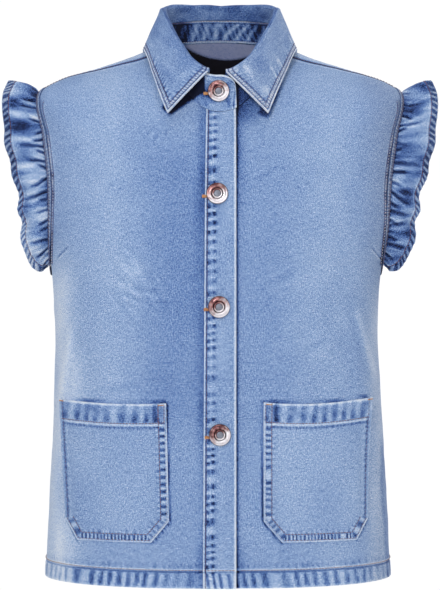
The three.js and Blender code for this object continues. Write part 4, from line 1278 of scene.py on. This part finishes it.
def gather_relief(run, distance, creases):
    """Sharp creases from the seam with puffs between: height, painted shade in a crease, and painted
    highlight on the lit ridges.
    """
    shape = np.broadcast(run, distance).shape
    height, crease, ridge = np.zeros(shape), np.zeros(shape), np.zeros(shape)
    for at, length, depth, lean in creases:
        reach = length * 1.45 + 2
        bend = lean * distance * (1.3 - 0.55 * np.minimum(distance / reach, 1.6))
        off = run - at - bend - 0.5 * noise(distance / 6, at * 0.1, 5)
        wide = 1.25 + 0.03 * distance
        fade = smooth((reach - distance) / (reach * 0.6))
        line = np.exp(-np.abs(off / wide) ** 1.5) * fade
        side = bell(off, 2.5 + 0.1 * distance, 1.3 + 0.09 * distance) * fade
        other = bell(off, -2.7 - 0.1 * distance, 1.5 + 0.1 * distance) * fade
        height = height - depth * line + 0.4 * depth * side + 0.25 * depth * other
        crease = np.maximum(crease, line * min(0.45 + depth / 4.5, 1.15))
        ridge = np.maximum(ridge, np.maximum(side, 0.7 * other) * min(0.4 + depth / 5, 1))
    return height, crease, ridge


def build_ruffle(side, sign, seed):
    share = np.linspace(0, 1, RUFFLE_COLUMNS)[:, None]
    fine_t = [np.linspace(0, 0.3, 12), np.linspace(0.3, 0.82, 14)[1:], np.linspace(0.82, 1, 10)[1:]]
    t = np.concatenate(fine_t)[None, :]
    turn = mix(RUFFLE_START, TURN - RUFFLE_START, share[:, 0])
    point, _, _, _, tangent, off, _, _ = armhole_frame(turn, sign)
    to_tip = 1 - np.abs(2 * share - 1)
    front = np.where(share < 0.5, 1.0, -1.0)
    width, out, inward, up, crown = (curve(to_tip) for curve in RUFFLE_CURVES)
    reach = np.concatenate([sign * out, front * inward, up], 1) * width
    start = point + off * 3 * GAP
    normal = unit(np.cross(reach, tangent)) * sign
    bend = np.concatenate([sign * out * width / 2, 0 * width, 0 * width], 1) + normal * crown
    arc, far = (2 * t * (1 - t))[..., None], (t * t)[..., None]
    place = start[:, None] + bend[:, None] * arc + reach[:, None] * far
    distance = t * width
    run = run_along(start)[:, None]
    # Each crease's place along the seam: the front's from its height, and the back's a shifted echo of it.
    half = len(run) // 2
    table = LEFT_CREASES if side == "left" else RIGHT_CREASES
    heights, way = start[:half, 2], run[:half, 0]
    creases = [(float(np.interp(z, heights, way)), length, depth, -lean) for z, length, depth, lean in table]
    whole = float(run[-1, 0])
    echo = [
        (whole - at - 4.5 * math.sin(at), length * 0.9 + 2, depth, -lean)
        for at, length, depth, lean in creases
    ]
    gathers, crease, ridge = gather_relief(run, distance, creases + echo)
    gathers = gathers * smooth(0.35 + to_tip / 0.12)
    waves = np.sin(TURN * WAVE_COUNT * wave_phase(share) + 0.6)
    calm = 1 - WAVE_CALM * smooth((to_tip - 0.45) / 0.3)
    ripple = WAVE_DEPTH * 0.85 * t**1.3 * smooth(to_tip / 0.08) * calm * waves
    soft = noise(run / 17, distance / 20, seed + 5) * np.minimum(distance / 8, 1) * (1 - 0.3 * t)
    middle = place + normal[:, None] * (gathers + ripple + 1.5 * soft)[..., None]
    normals = grid_normals(middle, np.broadcast_to(normal[:, None], middle.shape))
    from_edge = width * (1 - t)
    hem = smooth((8.3 - from_edge) / 0.8)
    long_run = run * 1.25
    slanted = long_run + 0.9 * from_edge * np.sign(noise(long_run / 90, 0.5, seed))
    stripes = patches(slanted, 8.2, seed + 3, 0.55)
    relief = 0.3 * hem - 0.38 * hem * stripes - 0.35 * bell(from_edge, 8.3, 0.7)
    relief += 0.25 * noise(run / 8, distance / 7, seed + 8) * (1 - hem)
    outer = middle + normals * relief[..., None]
    inner = middle - normals * RUFFLE_THICK
    tone = 0.7 * noise(run / 22, distance / 20, seed + 7) + 0.8 * noise(run / 7, distance / 26, seed + 9)
    streaks = noise(run / 2.6, distance / 16, seed + 11)
    z = start[:, None, 2]
    # The hem is darker and greyer at the top; the second term is painted shade towards the underarm.
    dark_part = smooth((z + 165) / 40) + 0.5 * smooth((-212 - z) / 16)
    panels = noise(run / 15 + 0.3 * distance / 12, distance / 30, seed + 13)
    wear_and_highlight = 0.68 * within(tone + 0.02) * (1 - 0.7 * hem) + 0.3 * within(streaks) * (1 - hem)
    wear_and_highlight += 0.3 * within(-panels) * (1 - hem)
    faded = within(noise(z / 34, 0.5, seed + 12) + 0.2)
    # The ridge term is a painted highlight on the puffs beside the creases.
    wear_and_highlight += 0.55 * bell(from_edge, 9.6, 0.8) + 0.35 * bell(from_edge, 0, 0.8) + 0.72 * ridge * (1 - hem)
    wear_and_highlight += 0.4 * hem * faded
    wear_and_highlight += hem * within(-stripes) * (0.62 - 0.35 * dark_part)
    # The crease term is painted shade in the creases.
    deep = 1.25 * crease + 0.6 * within(panels - 0.1) * (1 - hem)
    deep += hem * within(stripes + 0.35 * dark_part) * (0.85 + 0.3 * dark_part)
    deep += (0.14 if sign > 0 else 0.02) + 0.8 * within(-tone) * (1 - 0.5 * hem)
    deep += 0.2 * within(-streaks) * (1 - hem)
    # The second term is painted shade along the gathered seam.
    deep += 0.5 * bell(from_edge, 8.2, 0.6) + 0.6 * bell(distance, 0, 1.6)
    deep = np.minimum(deep, 0.92 - 0.14 * hem)
    uv = np.stack([lengths(outer, 1), np.broadcast_to(long_run, hem.shape)], -1)
    # The crease term greys the painted shade in the creases.
    tint = hem * (0.15 + 0.45 * within(dark_part)) + 0.15 * crease
    piece = shell("ruffle_" + side + "_cloth", outer, inner, (TRIM, TRIM), uv, wear_and_highlight, deep, tint)
    ratio = float(lengths(outer, 0)[-1, -4]) / RUFFLE_MEAN_WIDTH
    seam = ["armhole_band_" + side]
    dress(piece, "ruffle_" + side, "trim_denim", cloth_area(middle), ratio, "gathered", rests_on=seam)
    row = np.argmin(np.abs(from_edge - 8.3), axis=1)
    at = np.arange(float(RUFFLE_COLUMNS)), row.astype(float)
    sew("rust", bilinear(outer, *at), bilinear(normals, *at), stitch=2.5, radius=0.36, seed=seed)


# Collar
def fold_angle(angle):
    return np.abs(angle - TURN * np.round(angle / TURN)) / DEG


STAND_CURVE = table_curve(*zip(*STAND_HEIGHTS))
FOLD_CURVE = table_curve(*zip(*FOLD_HEIGHTS))


def lap_lift(angle):
    return LAP * smooth((angle / DEG - 322) / 20)


def collar_point(angle, height, lift):
    angle, height, lift = np.broadcast_arrays(np.asarray(angle, float), np.asarray(height, float), lift)
    top = np.full(angle.shape, TOP)
    foot = surface(angle, top)
    way = surface(angle + 0.01, top) - surface(angle - 0.01, top)
    outward = unit(np.stack([way[..., 1], -way[..., 0], 0 * way[..., 0]], -1))
    shrink = height / COLLAR_HEIGHT
    point = foot.copy()
    point[..., 0] *= 1 - COLLAR_LEAN_X * shrink
    point[..., 1] *= 1 - COLLAR_LEAN_Y * shrink
    point[..., 2] += height
    return point + outward * lift[..., None], outward


def build_stand():
    count = 360
    first = float(angle_at_x(STAND_UNDER_END, np.array(TOP)))
    last = TURN + float(angle_at_x(STAND_END_X, np.array(TOP)))
    share = np.linspace(0, 1, count)
    angle = mix(first, last, share - 0.035 * np.sin(TURN * share))
    x = surface(angle, np.full(count, TOP))[..., 0]
    past = np.where(angle > 1.5 * math.pi, x - (STAND_END_X - STAND_CORNER), 0)
    corner = np.where(past > 0, STAND_CORNER - np.sqrt(np.maximum(STAND_CORNER**2 - past**2, 0)), 0)
    top = STAND_CURVE(fold_angle(angle)) - corner
    parts = np.linspace(0, 1, 28)
    height = mix(0.05, top[:, None], parts[None, :])
    angles = np.broadcast_to(angle[:, None], height.shape)
    base, outward = collar_point(angles, height, lap_lift(angles))
    ends = lengths(base, 0)
    run = np.broadcast_to(ends[:, 13:14], height.shape)
    end = ends[-1:] - ends
    from_foot, from_top = height, top[:, None] - height
    border = np.minimum(from_foot, from_top)
    # Two sets of slanted puckers cross on the inside of the neck.
    inside = smooth((border - 2.0) / 1.6)
    wobble = 2 * noise(run / 17, from_foot / 11, 90)
    to_right = smooth((base[..., 0] + 8) / 30)
    one = patches(run + (0.2 + 0.6 * to_right) * from_foot + wobble, 13, 91, 0.6)
    two = patches(run - 0.5 * from_foot + wobble, 7.5, 92, 0.5)
    ridge = within(-0.95 * one - 0.4 * two) * inside
    near_front = smooth((62 - fold_angle(angles)) / 20)
    relief = 0.5 * ridge * (1 - 0.7 * near_front)
    relief = relief - 0.3 * bell(border, 1.9, 0.6) + 0.25 * bell(border, 0.6, 0.7)
    relief = relief * smooth((end - 0.5) / 3) * smooth((ends - 4) / 8)
    overlaps = angles > math.pi
    inner_deep = inside * (0.22 + 0.6 * within(0.7 * one + 0.5 * two)) + 0.7 * bell(border, 2.4, 0.7)
    # Painted shadow of the leaf's fold on the inside of the stand, stronger where the stand overlaps.
    beside_fold = smooth((152 - fold_angle(angles)) / 20)
    inner_deep += np.where(overlaps, 1.0, 0.6) * beside_fold
    inner_wear = 0.7 * ridge + 0.85 * bell(border, 0.9, 0.8)
    trim = np.minimum(from_top, end)
    outer_wear = smooth((2.6 - trim) / 1.2) + 0.6 * bell(trim, 4.9, 0.9) + 0.1 * bell(from_foot, 0.5, 0.7)
    outer_wear += 0.2 * noise(run / 7, from_foot / 6, 95)
    blotch = within(noise(run / 6, from_foot / 5, 96) + 0.15)
    x, z = base[..., 0], base[..., 2]
    # Painted shade in the top buttonhole's slit.
    slot = smooth((-2.5 - x) / 3) * bell(from_foot, 17, 6) * overlaps * near_front
    beside = near_front * np.where(overlaps, smooth((-15.5 - x) / 2), 1.0)
    # Painted shade on the under-lapped stand by the tab's end.
    under_tab = bell(np.maximum(x - 17, 0), 0, 3.5) * (1 - overlaps) * near_front
    outer_deep = 0.45 * blotch * inside * (1 - beside) + 0.55 * bell(trim, 3.3, 0.6) + 0.8 * slot
    # Beside the placket the stand takes a deeper base tone and the collar's painted shadow, and by the tab's
    # end a painted shade.
    outer_deep += beside * (0.22 + painted_collar_shadow(x, z)) + 0.8 * under_tab
    over_left = underlap(x, TOP) * smooth((x - 18) / 2)
    under_it = np.where(overlaps, lap_lift(angles) * smooth((-20 - x) / 5), over_left)
    relief = relief - 0.9 * under_it * smooth((6 - from_foot) / 6)
    outer = base + outward * relief[..., None]
    inner = raised(base, outward, relief - (DOUBLED - 0.2))
    uv = np.stack([run, height], -1)
    wear_and_highlight, deep = (outer_wear, inner_wear), (outer_deep, inner_deep)
    piece = shell("collar_stand_cloth", outer, inner, (DENIM, DENIM), uv, wear_and_highlight, deep)
    dress(piece, "collar_stand", "denim", cloth_area(base), STAND_RATIO, "stretched", rests_on=["back"])
    columns = np.arange(float(count))[4:-6]
    for distance, group in ((2.0, "pale"), (26.2, "rust")):
        j = np.full(len(columns), distance)
        inward = -bilinear(outward, columns, j)
        sew(group, bilinear(inner, columns, j), inward, stitch=2.2, gap=0.8, radius=0.3, seed=94)


def leaf_edge_curves():
    points = []
    for _, x, z, back, lift in LEAF_EDGE:
        angle, along = place_at(np.array([float(x)]), np.array([float(z)]), back)
        base, _, _, normal = frame_at(angle, along, *BROAD)
        points.append((base + normal * lift)[0])
    return [table_curve([row[0] for row in LEAF_EDGE], [p[k] for p in points]) for k in range(3)]


LEAF_EDGE_CURVES = leaf_edge_curves()
LEAF_STAND_STEPS, LEAF_ROLL_STEPS, LEAF_FALL_STEPS = 8, 12, 50


def leaf_sections(angle):
    """The leaf's under side: up the stand, over the roll and down to its free edge."""
    rise = FOLD_CURVE(fold_angle(angle)) - LEAF_ROLL
    foot = np.minimum(STAND_CURVE(fold_angle(angle)) + 2 * GAP, rise - 0.4)
    lift = np.where(angle > math.pi, lap_lift(angle), 0)
    side, outward = collar_point(angle, rise, lift)
    low, _ = collar_point(angle, foot, lift)
    section = [mix(low, side, s) for s in np.linspace(0, 1, LEAF_STAND_STEPS)]
    for turn in np.linspace(0, math.pi, LEAF_ROLL_STEPS + 1)[1:]:
        place = side + outward * (LEAF_ROLL * (1 - math.cos(turn)))
        place[:, 2] += LEAF_ROLL * math.sin(turn)
        section.append(place)
    start = section[-1]
    is_right = np.sin(angle) < 0
    from_back = (180 - fold_angle(angle)) / (180 - np.where(is_right, LEAF_RIGHT_END, LEAF_LEFT_END))
    at = 180 - (180 - LEAF_EDGE[0][0]) * from_back
    edge = np.stack([curve(at) for curve in LEAF_EDGE_CURVES], -1)
    edge[:, 0] *= np.where(is_right, -1, 1)
    edge[:, 0] += LEAF_SHIFT * smooth((80 - fold_angle(angle)) / 60)
    length = np.linalg.norm(edge - start, axis=1)[:, None]
    control = start + outward * 0.13 * length
    control[:, 2] -= 0.3 * length[:, 0]
    straight = (start + edge) / 2 + outward * 0.05 * length
    control = mix(control, straight, smooth((62 - fold_angle(angle)) / 50)[:, None])
    for s in np.linspace(0, 1, LEAF_FALL_STEPS + 1)[1:] ** 0.85:
        section.append((1 - s) ** 2 * start + 2 * s * (1 - s) * control + s * s * edge)
    return np.stack(section, 1)


def build_leaf():
    count = 400
    share = np.linspace(0, 1, count)
    angle = mix(LEAF_LEFT_END, 360 - LEAF_RIGHT_END, share) * DEG
    under = leaf_sections(angle)
    fold_column = LEAF_STAND_STEPS + LEAF_ROLL_STEPS // 2
    normals = unit(np.cross(np.gradient(under, axis=1), np.gradient(under, axis=0)))
    face = under + normals * LEAF_THICK
    down, ends = lengths(face, 1), lengths(face, 0)
    to_edge = down[:, -1:] - down
    from_end = np.minimum(ends, ends[-1:] - ends)
    falls = np.arange(down.shape[1])[None, :] > fold_column
    border = np.where(falls, np.minimum(to_edge, from_end), 99)
    by_edge = to_edge < from_end
    along_edge = np.where(by_edge, ends[:, -1:], down + 40)
    pucker = rope(along_edge, 3.0, 101)
    inside_pucker = patches(along_edge, 4.8, 104, 0.5)
    band = smooth((border - 2.4) / 0.7) * smooth((6.8 - border) / 0.8)
    next_band = smooth((border - 7.4) / 0.8) * np.exp(-np.maximum(border - 8.4, 0) / 4.2)
    grooves = bell(border, LEAF_ROWS[0], 0.6) + bell(border, LEAF_ROWS[1], 0.7)
    relief = 0.35 * bell(border, 0.5, 0.8) + 0.24 * pucker * band - 0.4 * grooves
    relief = relief - 0.42 * inside_pucker * next_band
    relief += 0.5 * noise(ends / 16, down / 14, 105) * smooth((border - 8) / 6)
    uneven = 0.8 + 0.3 * noise(along_edge / 22, 0.5, 107) + 0.35 * noise(along_edge / 2.4, border / 1.2, 112)
    wear_and_highlight = 1.3 * smooth((2.5 - border) / 1.7) * uneven + 0.8 * within(pucker) * band
    wear_and_highlight += 0.5 * within(-inside_pucker) * next_band + 0.45 * band
    on_right_leaf = (ends < 130) & falls
    # On the right leaf, as seen from the front, the pale streaks are painted highlights of small diagonal
    # creases; fainter on the other leaf.
    pale_streaks = within(noise(ends / 4, (down + 0.6 * ends) / 16, 108)) * bell(border, 16, 9)
    wear_and_highlight += 0.9 * pale_streaks * np.where(on_right_leaf, 1.0, 0.3)
    deep = 0.9 * within(-pucker) * band + 0.95 * grooves + 0.62 * within(inside_pucker) * next_band
    rise = np.where(falls, 0, 0.34 + 0.25 * noise(ends / 9, down / 7, 111))
    deep += rise + np.where(on_right_leaf, -0.08, 0.02) * falls
    deep += 0.12 * smooth((border - 12) / 14) * falls
    deep += 0.16 * np.clip(noise(ends / 18, down / 12, 109), -1, 1)
    outer = face + normals * relief[..., None]
    tint = 0.04 + 0.22 * band + 0.14 * on_right_leaf
    uv = np.stack([ends, down], -1)
    piece = shell("collar_leaf_cloth", outer, under, (DENIM, DENIM), uv, wear_and_highlight, deep, tint)
    dress(piece, "collar_leaf", "denim", cloth_area(under), LEAF_RATIO, "folded", rests_on=["collar_stand"])
    how = {"stitch": 2.1, "gap": 0.8, "radius": 0.32}
    for distance in LEAF_ROWS:
        sew("plum", *column_line(outer, normals, down, distance, range(3, count - 3), True), seed=3, **how)
        for end in (False, True):
            last = -1 if end else 0
            columns = [j for j in range(fold_column, under.shape[1]) if to_edge[last, j] > distance]
            sew("plum", *row_line(outer, normals, ends, distance, columns, end), seed=5, **how)


# Buttons. Radius, height and how dark the groove is, ring by ring, and the first ring of the grey middle
BUTTON_FACE = (
    (3.2, 0.0, 0), (3.2, 1.0, 0), (9.6, 1.1, 0), (10.7, 1.5, 0), (11.0, 2.1, 0),
    (10.8, 2.75, 0), (10.2, 3.2, 0), (9.5, 3.35, 0), (8.9, 3.1, 0.3), (8.5, 3.3, 0),
    (7.6, 3.55, 0), (6.8, 3.6, 0), (6.3, 3.4, 0.2), (5.9, 2.8, 1), (5.5, 2.6, 1),
    (5.2, 3.0, 0.5), (4.9, 3.45, 0), (4.3, 3.6, 0), (3.9, 3.45, 0), (3.6, 2.9, 1),
    (3.3, 2.4, 1), (3.0, 2.4, 0.4), (2.2, 2.55, 0), (1.2, 2.75, 0), (0.5, 2.85, 0),
)
RECESS_FROM = 20


def build_button(spec, turn_seed):
    if "on_stand" in spec:
        angle = TURN + angle_at_x(spec["x"], np.array([TOP]))
        point, facing = collar_point(angle, spec["on_stand"], lap_lift(angle) + GAP)
    else:
        angle, along = place_at(np.array([spec["x"]]), np.array([spec["z"]]))
        base, _, _, facing = frame_at(angle, along, *BROAD)
        point = base + facing * (2 * GAP + DOUBLED)
    point, facing = point[0], unit(facing[0])
    sides = 72
    turns = np.arange(sides) * TURN / sides
    across = unit(np.cross(np.array([0.0, 0.0, 1.0]), facing))
    across = across if across[0] > 0 else -across
    over = unit(np.array([0.0, 0.0, 1.0]) - facing * facing[2])
    rings, wash = [], []
    for radius, height, dark in BUTTON_FACE:
        worked = 7 < radius < 10.4 and dark < 0.5
        beads = 0.09 * np.sin(26 * turns + radius) if worked else 0 * turns
        rim = 1.04 * radius * (np.cos(turns)[:, None] * across + np.sin(turns)[:, None] * over)
        rings.append(point + rim + facing * (height + beads)[:, None])
        zero = 0 * turns
        # Warm copper towards the upper left and silver towards the lower right: partly the metal's own tone,
        # partly painted reflection.
        copper_and_reflection = 0.3 + 0.6 * np.cos(turns - 122 * DEG) + 0.3 * noise(turns * 3.2, radius / 2, turn_seed)
        # The grooves darken like patina; the dark breaks on two opposite sides of the darkest grooves are
        # painted reflection.
        broken = dark * (1 if dark < 1 else 0.45 + 0.75 * smooth((np.cos(2 * turns - 35 * DEG) + 0.1) / 0.4))
        specks = np.clip(noise(turns * 4.1, radius * 0.9, turn_seed + 2) * 1.6 - 0.35, 0, 0.7)
        broken += specks * (0.5 + 0.5 * np.cos(turns - 118 * DEG)) if worked else 0
        broken += 0.75 if 10.75 < radius else 0
        wash.append(np.stack([within(copper_and_reflection), within(broken + zero), zero, 1 + zero], -1))
    ends = np.array([point, point + facing * 2.9])
    verts = np.concatenate(rings + [ends])
    wash = np.concatenate(wash + [np.array([[0.3, 0, 0, 1], [0.3, 0, 0, 1]])])
    faces = tube_faces(len(rings), sides)
    indices = [int(k // sides >= RECESS_FROM) for k in range(len(faces))]
    low, high = len(verts) - 2, len(verts) - 1
    last = (len(rings) - 1) * sides
    for k in range(sides):
        after = (k + 1) % sides
        faces += [[low, after, k], [high, last + k, last + after]]
        indices += [0, 1]
    if np.dot(np.cross(across, over), facing) < 0:
        faces = [face[::-1] for face in faces]
    piece = make_mesh(spec["name"] + "_metal", verts, faces, (METAL, RECESS), indices, wash=wash, sharp=60)
    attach(piece, "root")
    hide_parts(spec["name"])
    return point, facing, across, over


def build_buttonhole(point, facing, across, over, seed):
    """The worked end of a horizontal buttonhole, showing beside the button."""
    face = point - facing * (GAP * 0.6)
    for k in range(9):
        mid = face + across * (-15.6 + 0.75 * k) - over * (2.6 + 0.25 * math.sin(k * 1.7))
        half = 1.75 + 0.2 * math.sin(k * 0.9)
        ends = np.array([mid - over * half, mid, mid + over * half])
        sew("orange", ends, np.tile(facing, (3, 1)), stitch=9, gap=0.1, radius=0.45, lift=0.25, seed=seed + k)


def join_threads():
    for group, runs in THREADS.items():
        all_verts, all_faces, offset = [], [], 0
        for verts, faces in runs:
            all_verts.append(verts)
            all_faces += [[index + offset for index in face] for face in faces]
            offset += len(verts)
        points = np.concatenate(all_verts)
        piece = make_mesh("stitches_" + group, points, all_faces, (THREAD_LOOKS[group],), sharp=0)
        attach(piece, "root")


# Stage, light and camera
def stage_floor():
    size, z = 6.5, -1.45
    mesh = bpy.data.meshes.new("floor")
    corners = [(-size, -size, z), (size, -size, z), (size, size, z), (-size, size, z)]
    mesh.from_pydata(corners, [], [(0, 1, 2, 3)])
    nodes = Nodes("floor_pale")
    where = nodes.where()
    tone = nodes.math("ADD", nodes.noise(where, 3, 2.0, 0.5, 0.04), 0.5)
    pale = ((0.0, (0.9, 0.9, 0.9, 1)), (1.0, (0.95, 0.95, 0.95, 1)))
    nodes.look(Base_Color=nodes.ramp(tone, pale), Roughness=0.9)
    mesh.materials.append(nodes.material)
    placed("floor", mesh)


def soft_light(name, place, size, power):
    """A square light aimed at the vest's middle."""
    data = bpy.data.lights.new(name, "AREA")
    data.shape = "SQUARE"
    data.size = size
    data.energy = power
    obj = placed(name, data)
    obj.location = place
    obj.rotation_euler = (Vector((0, 0, -0.3)) - obj.location).to_track_quat("-Z", "Y").to_euler()


# The sky's brightness as a share of its strength, by height from straight below to straight above
SKY_STRENGTH = 2.04
SKY = ((0.0, 0.11), (0.35, 0.11), (0.435, 0.5), (0.565, 0.5), (0.65, 0.11), (0.93, 0.11), (0.97, 1.0))


def studio_world():
    """White near the horizon, where it shows as the backdrop, dimmer above, and a soft patch overhead."""
    world = bpy.data.worlds.new("studio")
    world.use_nodes = True
    tree = world.node_tree
    where = tree.nodes.new("ShaderNodeTexCoord")
    split = tree.nodes.new("ShaderNodeSeparateXYZ")
    height = tree.nodes.new("ShaderNodeMath")
    height.operation = "MULTIPLY_ADD"
    height.inputs[1].default_value = height.inputs[2].default_value = 0.5
    ramp = tree.nodes.new("ShaderNodeValToRGB")
    elements = ramp.color_ramp.elements
    while len(elements) < len(SKY):
        elements.new(0.5)
    for element, (position, level) in zip(elements, SKY):
        element.position = position
        element.color = (level, level, level, 1)
    tree.links.new(where.outputs["Generated"], split.inputs[0])
    tree.links.new(split.outputs[2], height.inputs[0])
    tree.links.new(height.outputs[0], ramp.inputs[0])
    tree.links.new(ramp.outputs[0], tree.nodes["Background"].inputs[0])
    tree.nodes["Background"].inputs[1].default_value = SKY_STRENGTH
    bpy.context.scene.world = world
    bpy.context.scene.view_settings.view_transform = "Standard"


# The photograph's height in pixels, its scale in mm a pixel at the origin, and the camera's place in mm
PHOTO_HEIGHT, PIXEL = 590, 1.09
CAMERA_DISTANCE, CAMERA_Z = 2600, -272


def photo_camera():
    """The photograph's camera, level with the vest's middle."""
    data = bpy.data.cameras.new("camera")
    data.sensor_fit = "VERTICAL"
    data.angle = 2 * math.atan(PHOTO_HEIGHT * PIXEL / 2 / CAMERA_DISTANCE)
    camera = placed("camera", data)
    camera.location = (0, -CAMERA_DISTANCE * MM, CAMERA_Z * MM)
    camera.rotation_euler = (90 * DEG, 0, 0)
    bpy.context.scene.camera = camera


# The vest, then the stage round it
for side_name, side_sign, side_seed in (("left", 1, 201), ("right", -1, 241)):
    build_band(side_name, side_sign)
    build_ruffle(side_name, side_sign, side_seed)
build_front("front_right", False, 21)
build_front("front_left", True, 41)
build_back()
build_placket()
build_pocket("pocket_right", 111)
build_pocket("pocket_left", 131)
build_stand()
build_leaf()
for index, button_spec in enumerate(BUTTONS):
    build_buttonhole(*build_button(button_spec, 500 + index), seed=300 + 20 * index)
join_threads()
stage_floor()
soft_light("key", (-0.8, -2.6, 1.2), 0.6, 30)
soft_light("rear", (1.5, 2.3, 1.1), 0.8, 30)
soft_light("fill", (1.6, -2.4, -0.3), 1.6, 8)
studio_world()
photo_camera()
